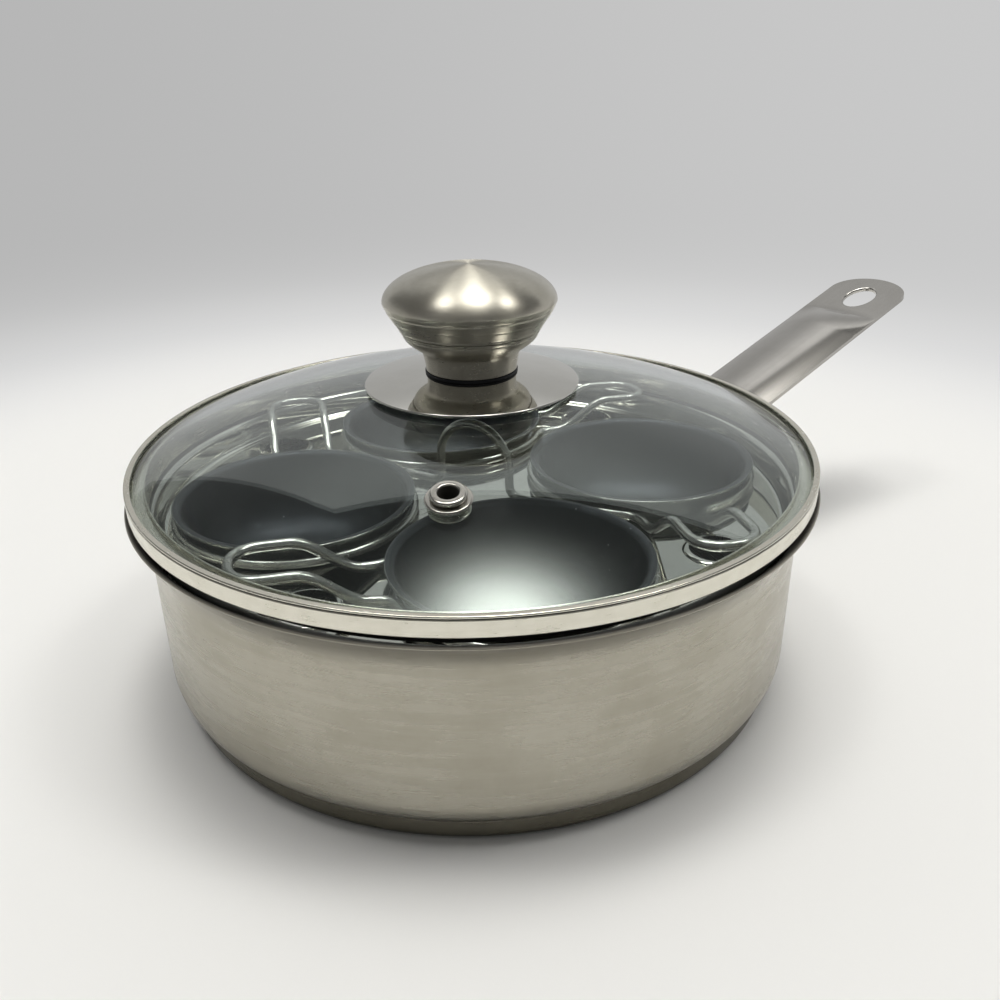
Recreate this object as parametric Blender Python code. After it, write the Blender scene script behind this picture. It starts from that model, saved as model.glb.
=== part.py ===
"""Egg poacher pan: a steel pan with a long handle, a lift-out plate holding four cups, and a domed glass lid.

Frame: metres, +Z up, the pan's axis is the Z axis, the base stands on Z = 0 and the handle points along +X.
"""
import math

import bmesh
import bpy
from mathutils import Matrix, Vector

MM = 0.001

# Gaps between neighbouring pieces
SEAT_GAP = 0.3 * MM
SADDLE_GAP = 0.4 * MM
CUT_OVERRUN = 5.0 * MM

# Pan: one spun sheet with a flat floor, a straight wall and a flared rim
PAN_WALL_RADIUS = 101.0 * MM
PAN_SHEET = 1.0 * MM
PAN_CORNER_RADIUS = 9.0 * MM
PAN_FLARE_START_Z = 52.0 * MM
PAN_FLARE_REACH = 5.6 * MM
PAN_FLARE_HEIGHT = 13.6 * MM

# Base: an aluminium core closed in by a pressed steel cap
BASE_SETBACK = 3.5 * MM
BASE_CAP_SHEET = 0.8 * MM
BASE_CAP_CORNER_RADIUS = 1.6 * MM
BASE_CORE_THICKNESS = 4.8 * MM

# Handle: a pressed strip, arched along its length and flat at its tip
HANDLE_RISE = math.radians(17.0)
HANDLE_ROOT_DROP = 3.3 * MM
HANDLE_LENGTH = 135.4 * MM
HANDLE_WIDTH = 33.7 * MM
HANDLE_SHEET = 1.5 * MM
HANDLE_ARCH_HEIGHT = 5.0 * MM
HANDLE_CROWN_SHARE = 0.36
HANDLE_TAB_LENGTH = 31.4 * MM
HANDLE_ARCH_RAMP = 14.0 * MM
HANDLE_TIP_ROUND = 12.5 * MM
HANG_HOLE_TO_TIP = 17.1 * MM
HANG_HOLE_LENGTH = 16.7 * MM
HANG_HOLE_WIDTH = 12.1 * MM

# Handle bracket: a saddle on the pan wall with a tongue under the handle's arch
SADDLE_SHEET = 1.5 * MM
SADDLE_HALF_ANGLE = math.radians(10.5)
SADDLE_HEIGHT = 18.0 * MM
SADDLE_OVER_FLARE_START = 2.0 * MM
TONGUE_WIDTH = 11.0 * MM
TONGUE_THICKNESS = 1.8 * MM
TONGUE_LENGTH = 36.0 * MM

# Lid glass: a spherical dome with a hole at its crown and one for the steam vent
GLASS_EDGE_GAP = 0.47 * MM
GLASS_RISE = 21.4 * MM
GLASS_THICKNESS = 4.0 * MM
GLASS_CENTRE_HOLE_RADIUS = 4.5 * MM

# Lid band: a steel channel rolled round the edge of the glass
BAND_SETBACK = 1.13 * MM
BAND_SHEET = 0.6 * MM
BAND_LIP_OVERLAP = 2.0 * MM
BAND_LIP_GAP = 0.36 * MM
BAND_FLOOR_GAP = 0.34 * MM
BAND_FLANGE_OVERLAP = 5.8 * MM
BAND_CORNER_RADIUS = 0.7 * MM

# Steam vent in the glass
VENT_PLACE_RADIUS = 68.9 * MM
VENT_AZIMUTH = math.radians(-132.5)
VENT_BORE_RADIUS = 3.1 * MM
VENT_TUBE_WALL = 0.8 * MM
VENT_COLLAR_RADIUS = 5.3 * MM
VENT_COLLAR_HEIGHT = 1.5 * MM
VENT_WASHER_RADIUS = 6.8 * MM
VENT_WASHER_THICKNESS = 0.7 * MM
VENT_FLARE_RADIUS = 5.6 * MM
VENT_FLARE_THICKNESS = 0.7 * MM

# Stack under the knob, from the glass upwards and downwards
GASKET_RADIUS = 12.0 * MM
TOP_GASKET_THICKNESS = 1.6 * MM
UNDER_GASKET_THICKNESS = 1.2 * MM
WASHER_RADIUS = 13.0 * MM
WASHER_THICKNESS = 1.2 * MM
DISC_RADIUS = 33.0 * MM
DISC_SHEET = 1.0 * MM
DISC_RIM_GAP = 0.7 * MM
SEAL_RADIUS = 13.3 * MM
SEAL_THICKNESS = 0.8 * MM

# Knob: a spun lower body and a domed cap butted on its rim
KNOB_RADIUS = 26.2 * MM
KNOB_SHEET = 1.0 * MM
KNOB_BODY_HEIGHT = 11.4 * MM
KNOB_SKIRT_HEIGHT = 8.1 * MM
KNOB_CROWN_HEIGHT = 10.6 * MM
KNOB_BODY_SHARES = (
    (0.534, 0.00),
    (0.550, 0.21),
    (0.573, 0.40),
    (0.603, 0.49),
    (0.668, 0.59),
    (0.752, 0.75),
    (0.800, 0.92),
    (0.813, 1.00),
)
KNOB_SKIRT_SHARES = (
    (0.826, 0.00),
    (0.860, 0.20),
    (0.917, 0.47),
    (0.966, 0.74),
)

# Knob fastener: a pan-head screw from under the glass into a threaded boss
SCREW_RADIUS = 2.4 * MM
SCREW_HEAD_RADIUS = 5.0 * MM
SCREW_HEAD_HEIGHT = 2.8 * MM
SCREW_SLOT_WIDTH = 1.2 * MM
SCREW_SLOT_DEPTH = 1.2 * MM
SCREW_REACH = 6.0 * MM
BOSS_RADIUS = 6.5 * MM
BOSS_HEIGHT = 8.0 * MM

# Insert plate: hangs by its lip on the pan's flare
PLATE_DEPTH = 8.5 * MM
PLATE_SHEET = 0.8 * MM
PLATE_WALL_GAP = 2.0 * MM
PLATE_LIP_WIDTH = 3.5 * MM
PLATE_FOOT_FILLET = 3.0 * MM
PLATE_LIP_FILLET = 1.6 * MM
INSERT_TURN = math.radians(-25.0)
CUP_COUNT = 4
HOOP_TO_WALL_GAP = 3.63 * MM
HOOP_TO_HOOP_GAP = 4.64 * MM
CUP_HOLE_CLEARANCE = 0.45 * MM
FINGER_HOLE_TO_WALL = 16.7 * MM
FINGER_HOLE_RADIUS = 7.8 * MM
FINGER_RING_WIDTH = 1.8 * MM
FINGER_RING_HEIGHT = 0.8 * MM

# Lifting handle bent from wire at the middle of the plate
LIFT_WIRE_RADIUS = 1.4 * MM
LIFT_HALF_WIDTH = 12.9 * MM
LIFT_HEIGHT = 24.8 * MM
LIFT_FOOT_REACH = 28.0 * MM
LIFT_BEND_RADIUS = 3.5 * MM

# Cups
CUP_RIM_HEIGHT = 6.7 * MM
CUP_DEPTH = 26.0 * MM
CUP_SHEET = 0.9 * MM
CUP_FLANGE_WIDTH = 1.9 * MM
CUP_WALL_TAPER = 4.7 * MM
CUP_CORNER_RADIUS = 8.0 * MM
CUP_FLANGE_FILLET = 1.0 * MM

# Cup wires: a hoop round each cup that runs out into a raised loop
CUP_WIRE_RADIUS = 1.5 * MM
LOOP_WIDTH = 18.5 * MM
LOOP_OFFSET = -4.25 * MM
LOOP_TO_WALL_GAP = 1.1 * MM
LOOP_HEIGHT = 11.8 * MM
LOOP_FLAT_LENGTH = 16.0 * MM
LOOP_LEAD = 3.3 * MM
LOOP_END_RADIUS = 8.0 * MM
LOOP_ROOT_EASE = 5.0 * MM

# Facet counts
PAN_SEGMENTS = 48
CUP_SEGMENTS = 24
KNOB_SEGMENTS = 24
SMALL_SEGMENTS = 14
ARC_STEPS = 4
WIRE_BEVEL_RESOLUTION = 1
SHARP_ANGLE = math.radians(32.0)
MERGE_SHARE = 0.001


def clear_scene():
    """Remove every object that the file opened with."""
    for thing in list(bpy.data.objects):
        bpy.data.objects.remove(thing, do_unlink=True)


def finish(name, colour, roughness, metallic, transmission=0.0):
    """Make a plain Principled material."""
    material = bpy.data.materials.new(name)
    material.use_nodes = True
    shader = material.node_tree.nodes["Principled BSDF"]
    shader.inputs["Base Color"].default_value = (*colour, 1.0)
    shader.inputs["Roughness"].default_value = roughness
    shader.inputs["Metallic"].default_value = metallic
    shader.inputs["Transmission Weight"].default_value = transmission
    return material


def arc_points(centre, radius, start, end, steps):
    """Points on an arc in the profile plane, both ends included."""
    angles = [start + (end - start) * i / steps for i in range(steps + 1)]
    return [(centre[0] + radius * math.cos(a), centre[1] + radius * math.sin(a)) for a in angles]


def rounded_path(corners, steps=ARC_STEPS):
    """Turn corners (r, z, fillet radius) into a line with each inner corner rounded."""
    points = []
    for i, (r, z, fillet) in enumerate(corners):
        here = Vector((r, z))
        if fillet == 0 or i in (0, len(corners) - 1):
            points.append((r, z))
            continue
        to_last = (Vector(corners[i - 1][:2]) - here).normalized()
        to_next = (Vector(corners[i + 1][:2]) - here).normalized()
        half = to_last.angle(to_next) / 2
        tangent = fillet / math.tan(half)
        centre = here + (to_last + to_next).normalized() * fillet / math.sin(half)
        first = here + to_last * tangent - centre
        last = here + to_next * tangent - centre
        start = math.atan2(first.y, first.x)
        turn = math.atan2(first.cross(last), first.dot(last))
        points += arc_points(centre, fillet, start, start + turn, steps)
    return points


def offset_line(path, distance):
    """Shift a profile line sideways, to its left for a positive distance."""
    shifted = []
    for i, point in enumerate(path):
        here = Vector(point)
        before = (here - Vector(path[i - 1])).normalized() if i > 0 else None
        after = (Vector(path[i + 1]) - here).normalized() if i < len(path) - 1 else None
        before = before or after
        after = after or before
        middle = (before + after).normalized()
        normal = Vector((-middle.y, middle.x))
        shifted.append(tuple(here + normal * distance / max(middle.dot(after), MERGE_SHARE)))
    return shifted


def sheet_profile(path, thickness):
    """Closed outline of a sheet lying to the left of its outer line."""
    inner = offset_line(path, thickness)
    if path[0][0] == 0:
        inner[0] = (0, inner[0][1])
    return path + inner[::-1]


def link(obj, material, parent=None):
    """Put an object into the scene with its finish and its parent."""
    bpy.context.scene.collection.objects.link(obj)
    obj.data.materials.append(material)
    obj.parent = parent
    return obj


def mesh_object(name, bm, material, parent=None):
    """Close up a bmesh and turn it into a smooth-shaded object."""
    bmesh.ops.remove_doubles(bm, verts=bm.verts, dist=SEAT_GAP * MERGE_SHARE)
    bmesh.ops.recalc_face_normals(bm, faces=bm.faces)
    mesh = bpy.data.meshes.new(name)
    bm.to_mesh(mesh)
    bm.free()
    mesh.shade_smooth()
    mesh.set_sharp_from_angle(angle=SHARP_ANGLE)
    return link(bpy.data.objects.new(name, mesh), material, parent)


def spin_profile(profile, segments, angle=math.tau, start=0.0):
    """Spin a closed (r, z) outline about Z into a bmesh."""
    bm = bmesh.new()
    turn = Matrix.Rotation(start, 3, "Z")
    verts = [bm.verts.new(turn @ Vector((r, 0, z))) for r, z in profile]
    edges = [bm.edges.new((v, verts[(i + 1) % len(verts)])) for i, v in enumerate(verts)]
    whole = angle == math.tau
    if not whole:
        bm.faces.new(verts)
    spun = bmesh.ops.spin(
        bm,
        geom=verts + edges,
        cent=(0, 0, 0),
        axis=(0, 0, 1),
        angle=angle,
        steps=segments,
        use_merge=whole,
    )
    if not whole:
        bm.faces.new([v for v in spun["geom_last"] if isinstance(v, bmesh.types.BMVert)])
    return bm


def turned(name, profile, segments, material, parent=None):
    """A turned piece from a closed outline."""
    return mesh_object(name, spin_profile(profile, segments), material, parent)


def ring(inner, outer, bottom, top):
    """Outline of a plain ring or, with inner zero, of a disc."""
    return [(outer, top), (outer, bottom), (inner, bottom), (inner, top)]


def cutter(name, profile, segments, parent=None):
    """A turned shape that is only used to cut with."""
    bm = spin_profile(profile, segments)
    bmesh.ops.remove_doubles(bm, verts=bm.verts, dist=SEAT_GAP * MERGE_SHARE)
    bmesh.ops.recalc_face_normals(bm, faces=bm.faces)
    mesh = bpy.data.meshes.new(name)
    bm.to_mesh(mesh)
    bm.free()
    obj = bpy.data.objects.new(name, mesh)
    bpy.context.scene.collection.objects.link(obj)
    obj.parent = parent
    obj.hide_render = True
    obj.display_type = "WIRE"
    return obj


def boolean(target, tool, operation):
    """Add an exact Boolean to an object."""
    modifier = target.modifiers.new(tool.name, "BOOLEAN")
    modifier.operation = operation
    modifier.solver = "EXACT"
    modifier.object = tool


def frame(name, parent=None, place=(0, 0, 0), turn=0.0):
    """An empty that carries the pieces of one moving body."""
    empty = bpy.data.objects.new(name, None)
    bpy.context.scene.collection.objects.link(empty)
    empty.parent = parent
    empty.location = place
    empty.rotation_euler = (0, 0, turn)
    return empty


def wire_object(name, points, radius, cyclic, material, parent=None):
    """A round wire along a line of points."""
    curve = bpy.data.curves.new(name, "CURVE")
    curve.dimensions = "3D"
    curve.bevel_depth = radius
    curve.bevel_resolution = WIRE_BEVEL_RESOLUTION
    curve.use_fill_caps = True
    spline = curve.splines.new("POLY")
    spline.points.add(len(points) - 1)
    for knot, point in zip(spline.points, points):
        knot.co = (*point, 1.0)
    spline.use_cyclic_u = cyclic
    return link(bpy.data.objects.new(name, curve), material, parent)


def smooth_step(share):
    """Ease from 0 to 1 with level ends."""
    share = min(max(share, 0.0), 1.0)
    return share * share * (3 - 2 * share)


# Heights and arcs that several pieces share

base_core_bottom = BASE_CAP_SHEET + SEAT_GAP
base_core_top = base_core_bottom + BASE_CORE_THICKNESS
pan_floor_under = base_core_top + SEAT_GAP
pan_rim_radius = PAN_WALL_RADIUS + PAN_FLARE_REACH
pan_rim_z = PAN_FLARE_START_Z + PAN_FLARE_HEIGHT
flare_angle = 2 * math.atan(PAN_FLARE_REACH / PAN_FLARE_HEIGHT)
flare_radius = PAN_FLARE_HEIGHT / math.sin(flare_angle)
flare_centre_r = PAN_WALL_RADIUS + flare_radius
base_radius = PAN_WALL_RADIUS - BASE_SETBACK


def seat_on_flare(radius):
    """Height at which an edge of this radius rests on the inside of the flare."""
    reach = flare_radius + PAN_SHEET + SEAT_GAP
    return PAN_FLARE_START_Z + math.sqrt(reach**2 - (flare_centre_r - radius) ** 2)


band_radius = pan_rim_radius - BAND_SETBACK
band_bottom = seat_on_flare(band_radius)
glass_edge_radius = band_radius - BAND_SHEET - GLASS_EDGE_GAP
band_lip_radius = glass_edge_radius - BAND_LIP_OVERLAP
band_flange_radius = glass_edge_radius - BAND_FLANGE_OVERLAP
glass_ball = (glass_edge_radius**2 + GLASS_RISE**2) / (2 * GLASS_RISE)
glass_inner_ball = glass_ball - GLASS_THICKNESS
glass_under_edge_z = band_bottom + BAND_SHEET + BAND_FLOOR_GAP
glass_centre_z = glass_under_edge_z - math.sqrt(glass_inner_ball**2 - glass_edge_radius**2)
glass_crown_z = glass_centre_z + glass_ball


def glass_top_z(radius):
    """Height of the glass's upper face at a radius."""
    return glass_centre_z + math.sqrt(glass_ball**2 - radius**2)


def glass_under_z(radius):
    """Height of the glass's lower face at a radius."""
    return glass_centre_z + math.sqrt(glass_inner_ball**2 - radius**2)


band_top = glass_top_z(band_lip_radius) + BAND_LIP_GAP + BAND_SHEET
disc_crown_under = glass_crown_z + SEAT_GAP + TOP_GASKET_THICKNESS + SEAT_GAP
disc_crown_z = disc_crown_under + DISC_SHEET
disc_rise = disc_crown_under - glass_top_z(DISC_RADIUS) - DISC_RIM_GAP
disc_ball = (DISC_RADIUS**2 + disc_rise**2) / (2 * disc_rise)
seal_bottom = disc_crown_z + SEAT_GAP
seal_top = seal_bottom + SEAL_THICKNESS
knob_bottom = seal_top + SEAT_GAP
knob_joint = knob_bottom + KNOB_BODY_HEIGHT
under_gasket_top = glass_crown_z - GLASS_THICKNESS - SEAT_GAP
under_gasket_bottom = under_gasket_top - UNDER_GASKET_THICKNESS
washer_top = under_gasket_bottom - SEAT_GAP
washer_bottom = washer_top - WASHER_THICKNESS
screw_head_top = washer_bottom - SEAT_GAP
boss_bottom = knob_bottom + KNOB_SHEET + SEAT_GAP
screw_hole_radius = SCREW_RADIUS + SEAT_GAP

plate_wall_radius = PAN_WALL_RADIUS - PAN_SHEET - PLATE_WALL_GAP
plate_lip_radius = plate_wall_radius + PLATE_LIP_WIDTH
plate_lip_under = seat_on_flare(plate_lip_radius)
plate_under = plate_lip_under - PLATE_DEPTH
plate_top = plate_under + PLATE_SHEET

half_pitch_sine = math.sin(math.pi / CUP_COUNT)
cup_room = plate_wall_radius - HOOP_TO_WALL_GAP
cup_pitch_radius = (cup_room + HOOP_TO_HOOP_GAP / 2) / (half_pitch_sine + 1)
hoop_outer_radius = cup_room - cup_pitch_radius
hoop_radius = hoop_outer_radius - CUP_WIRE_RADIUS
cup_wire_z = plate_top + SEAT_GAP + CUP_WIRE_RADIUS
cup_rim_z = plate_top + CUP_RIM_HEIGHT
cup_foot_z = cup_rim_z - CUP_DEPTH
cup_flange_under = cup_rim_z - CUP_SHEET
cup_taper_per_height = CUP_WALL_TAPER / (cup_flange_under - cup_foot_z)


def cup_wall_radius(height):
    """Outer radius of a cup's sloping wall at a height, clear of the hoop round it."""
    hoop_top = cup_wire_z + CUP_WIRE_RADIUS
    inside_hoop = hoop_radius - CUP_WIRE_RADIUS - SEAT_GAP
    return inside_hoop + cup_taper_per_height * (height - hoop_top)


cup_foot_radius = cup_wall_radius(cup_foot_z)
cup_mouth_radius = cup_wall_radius(cup_flange_under)
cup_flange_radius = cup_mouth_radius + CUP_FLANGE_WIDTH
cup_hole_radius = cup_wall_radius(plate_top) + CUP_HOLE_CLEARANCE

loop_side_a = LOOP_OFFSET - LOOP_WIDTH / 2
loop_side_b = LOOP_OFFSET + LOOP_WIDTH / 2
loop_corner_reach = plate_wall_radius - PLATE_SHEET - LOOP_TO_WALL_GAP - CUP_WIRE_RADIUS - LOOP_END_RADIUS
loop_corner_side = cup_pitch_radius + loop_side_b - LOOP_END_RADIUS
loop_reach = LOOP_END_RADIUS + math.sqrt(loop_corner_reach**2 - loop_corner_side**2)
loop_ramp_end = loop_reach - LOOP_FLAT_LENGTH
loop_ramp_start = hoop_outer_radius + LOOP_LEAD

handle_root_z = PAN_FLARE_START_Z - HANDLE_ROOT_DROP
handle_tab_start = HANDLE_LENGTH - HANDLE_TAB_LENGTH
handle_arch_end = handle_tab_start - HANDLE_ARCH_RAMP
saddle_top_z = PAN_FLARE_START_Z + SADDLE_OVER_FLARE_START
saddle_bottom_z = saddle_top_z - SADDLE_HEIGHT


def build_pan(steel, core_metal, handle_steel):
    """The pan, its base, its handle and the handle's bracket."""
    flare = arc_points(
        (flare_centre_r, PAN_FLARE_START_Z), flare_radius, math.pi, math.pi - flare_angle, ARC_STEPS
    )
    corner = rounded_path([
        (0, pan_floor_under, 0),
        (PAN_WALL_RADIUS, pan_floor_under, PAN_CORNER_RADIUS),
        (PAN_WALL_RADIUS, PAN_FLARE_START_Z, 0),
    ], 3)
    turned("pan_body", sheet_profile(corner[:-1] + flare, PAN_SHEET), PAN_SEGMENTS, steel)

    cap = rounded_path([
        (0, 0, 0),
        (base_radius, 0, BASE_CAP_CORNER_RADIUS),
        (base_radius, base_core_top, 0),
    ], 2)
    turned("base_cap", sheet_profile(cap, BASE_CAP_SHEET), PAN_SEGMENTS, steel)
    core_radius = base_radius - BASE_CAP_SHEET - SEAT_GAP
    chamfer = BASE_CAP_CORNER_RADIUS
    core = [
        (core_radius, base_core_top),
        (core_radius, base_core_bottom + chamfer),
        (core_radius - chamfer, base_core_bottom),
        (0, base_core_bottom),
        (0, base_core_top),
    ]
    turned("base_core", core, PAN_SEGMENTS, core_metal)
    build_handle(handle_steel)


def handle_stations():
    """Places along the handle where its cross-section is drawn."""
    ramp = handle_tab_start - handle_arch_end
    round_start = HANDLE_LENGTH - HANDLE_TIP_ROUND
    stations = [-CUT_OVERRUN, handle_arch_end / 2]
    stations += [handle_arch_end + ramp * i / ARC_STEPS for i in range(ARC_STEPS + 1)]
    quarter = math.pi / 2
    tip_steps = 2 * ARC_STEPS
    stations += [round_start + HANDLE_TIP_ROUND * math.sin(quarter * i / tip_steps) for i in range(tip_steps)]
    return stations


def handle_half_width(place):
    """Half the handle's width, closing in over the rounded tip."""
    into_round = max(place - HANDLE_LENGTH + HANDLE_TIP_ROUND, 0) / HANDLE_TIP_ROUND
    return HANDLE_WIDTH / 2 * math.sqrt(max(1 - into_round**2, 0))


def build_handle(steel):
    """The arched strip with its hanging hole, and the bracket that carries it."""
    across = 12
    bm = bmesh.new()
    rows = []
    for place in handle_stations():
        half = handle_half_width(place)
        ease = 1 - smooth_step((place - handle_arch_end) / (handle_tab_start - handle_arch_end))
        upper = []
        lower = []
        for i in range(across + 1):
            share = 2 * i / across - 1
            flank = smooth_step((abs(share) - HANDLE_CROWN_SHARE) / (1 - HANDLE_CROWN_SHARE))
            lift = HANDLE_ARCH_HEIGHT * ease * (1 - flank)
            upper.append(bm.verts.new((place, share * half, lift)))
            lower.append(bm.verts.new((place, share * half, lift - HANDLE_SHEET)))
        rows.append(upper + lower[::-1])
    for near, far in zip(rows, rows[1:]):
        for i, vert in enumerate(near):
            j = (i + 1) % len(near)
            bm.faces.new((vert, near[j], far[j], far[i]))
    bm.faces.new(rows[0])
    bm.faces.new(rows[-1])
    shell = mesh_object("handle_shell", bm, steel)
    shell.location = (PAN_WALL_RADIUS, 0, handle_root_z)
    shell.rotation_euler = (0, -HANDLE_RISE, 0)

    hole = cutter("hang_hole_cutter", ring(0, HANG_HOLE_WIDTH / 2, -CUT_OVERRUN, CUT_OVERRUN), KNOB_SEGMENTS, shell)
    hole.location = (HANDLE_LENGTH - HANG_HOLE_TO_TIP, 0, 0)
    hole.data.transform(Matrix.Diagonal((HANG_HOLE_LENGTH / HANG_HOLE_WIDTH, 1, 1, 1)))
    boolean(shell, hole, "DIFFERENCE")

    saddle_inner = PAN_WALL_RADIUS + SADDLE_GAP
    saddle_outer = saddle_inner + SADDLE_SHEET
    root = cutter(
        "handle_root_cutter",
        ring(0, saddle_outer + SEAT_GAP, saddle_bottom_z - CUT_OVERRUN, pan_rim_z + CUT_OVERRUN),
        3 * PAN_SEGMENTS,
    )
    boolean(shell, root, "DIFFERENCE")

    profile = ring(saddle_inner, saddle_outer, saddle_bottom_z, saddle_top_z)
    bm = spin_profile(profile, 2 * ARC_STEPS, 2 * SADDLE_HALF_ANGLE, -SADDLE_HALF_ANGLE)
    bracket = mesh_object("handle_bracket", bm, steel)

    tongue_top = HANDLE_ARCH_HEIGHT - HANDLE_SHEET - SEAT_GAP
    bm = bmesh.new()
    bmesh.ops.create_cube(bm, size=1)
    bmesh.ops.scale(bm, vec=(TONGUE_LENGTH, TONGUE_WIDTH, TONGUE_THICKNESS), verts=bm.verts)
    middle = (SADDLE_GAP + SADDLE_SHEET / 2 + TONGUE_LENGTH / 2, 0, tongue_top - TONGUE_THICKNESS / 2)
    bmesh.ops.translate(bm, vec=middle, verts=bm.verts)
    tongue = mesh_object("bracket_tongue_tool", bm, steel)
    tongue.location = shell.location
    tongue.rotation_euler = shell.rotation_euler
    tongue.hide_render = True
    tongue.display_type = "WIRE"
    boolean(bracket, tongue, "UNION")


def build_lid(glass, steel, polished, rubber, knob_steel, body):
    """The glass dome, its steel band, the steam vent and the knob with its fixings."""
    edge_angle = math.asin(glass_edge_radius / glass_ball)
    hole_angle = math.asin(GLASS_CENTRE_HOLE_RADIUS / glass_ball)
    dome_steps = ARC_STEPS + 2
    quarter = math.pi / 2
    centre = (0, glass_centre_z)
    upper = arc_points(centre, glass_ball, quarter - hole_angle, quarter - edge_angle, dome_steps)
    inner_edge = math.asin(glass_edge_radius / glass_inner_ball)
    inner_hole = math.asin(GLASS_CENTRE_HOLE_RADIUS / glass_inner_ball)
    lower = arc_points(centre, glass_inner_ball, quarter - inner_edge, quarter - inner_hole, dome_steps)
    dome = turned("lid_glass", upper + lower, PAN_SEGMENTS, glass, body)

    hem_top = glass_under_z(band_flange_radius + BAND_SHEET) - SEAT_GAP
    band = rounded_path([
        (band_flange_radius, hem_top, 0),
        (band_flange_radius, band_bottom, BAND_CORNER_RADIUS),
        (band_radius, band_bottom, BAND_CORNER_RADIUS),
        (band_radius, band_top, BAND_CORNER_RADIUS),
        (band_lip_radius, band_top, 0),
    ], 1)
    turned("lid_band", sheet_profile(band, BAND_SHEET), PAN_SEGMENTS, steel, body)
    build_vent(dome, steel, body)
    build_knob(polished, rubber, knob_steel, body)


def build_vent(dome, steel, body):
    """The steel eyelet and its washer, square to the glass."""
    tube_radius = VENT_BORE_RADIUS + VENT_TUBE_WALL
    tilt = math.asin(VENT_PLACE_RADIUS / glass_ball)
    place = Vector((
        VENT_PLACE_RADIUS * math.cos(VENT_AZIMUTH),
        VENT_PLACE_RADIUS * math.sin(VENT_AZIMUTH),
        glass_top_z(VENT_PLACE_RADIUS),
    ))
    pose = Matrix.Translation(place) @ Matrix.Rotation(VENT_AZIMUTH, 4, "Z") @ Matrix.Rotation(tilt, 4, "Y")

    hole_radius = tube_radius + SEAT_GAP
    hole = cutter(
        "vent_hole_cutter",
        ring(0, hole_radius, -GLASS_THICKNESS - CUT_OVERRUN, CUT_OVERRUN),
        SMALL_SEGMENTS,
        body,
    )
    hole.matrix_local = pose
    boolean(dome, hole, "DIFFERENCE")

    washer_bottom_z = SEAT_GAP
    washer_top_z = washer_bottom_z + VENT_WASHER_THICKNESS
    washer = turned(
        "vent_washer",
        ring(hole_radius, VENT_WASHER_RADIUS, washer_bottom_z, washer_top_z),
        SMALL_SEGMENTS,
        steel,
        body,
    )
    washer.matrix_local = pose

    collar_bottom = washer_top_z + SEAT_GAP
    collar_top = collar_bottom + VENT_COLLAR_HEIGHT
    shoulder = VENT_TUBE_WALL / 2
    flare_top = -GLASS_THICKNESS - SEAT_GAP
    flare_bottom = flare_top - VENT_FLARE_THICKNESS
    eyelet = turned(
        "vent_eyelet",
        [
            (VENT_BORE_RADIUS + shoulder, collar_top),
            (VENT_COLLAR_RADIUS - shoulder, collar_top),
            (VENT_COLLAR_RADIUS, collar_top - shoulder),
            (VENT_COLLAR_RADIUS, collar_bottom),
            (tube_radius, collar_bottom),
            (tube_radius, flare_top),
            (VENT_FLARE_RADIUS, flare_top),
            (VENT_FLARE_RADIUS, flare_bottom),
            (VENT_BORE_RADIUS, flare_bottom),
            (VENT_BORE_RADIUS, collar_top - shoulder),
        ],
        SMALL_SEGMENTS,
        steel,
        body,
    )
    eyelet.matrix_local = pose


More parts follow.
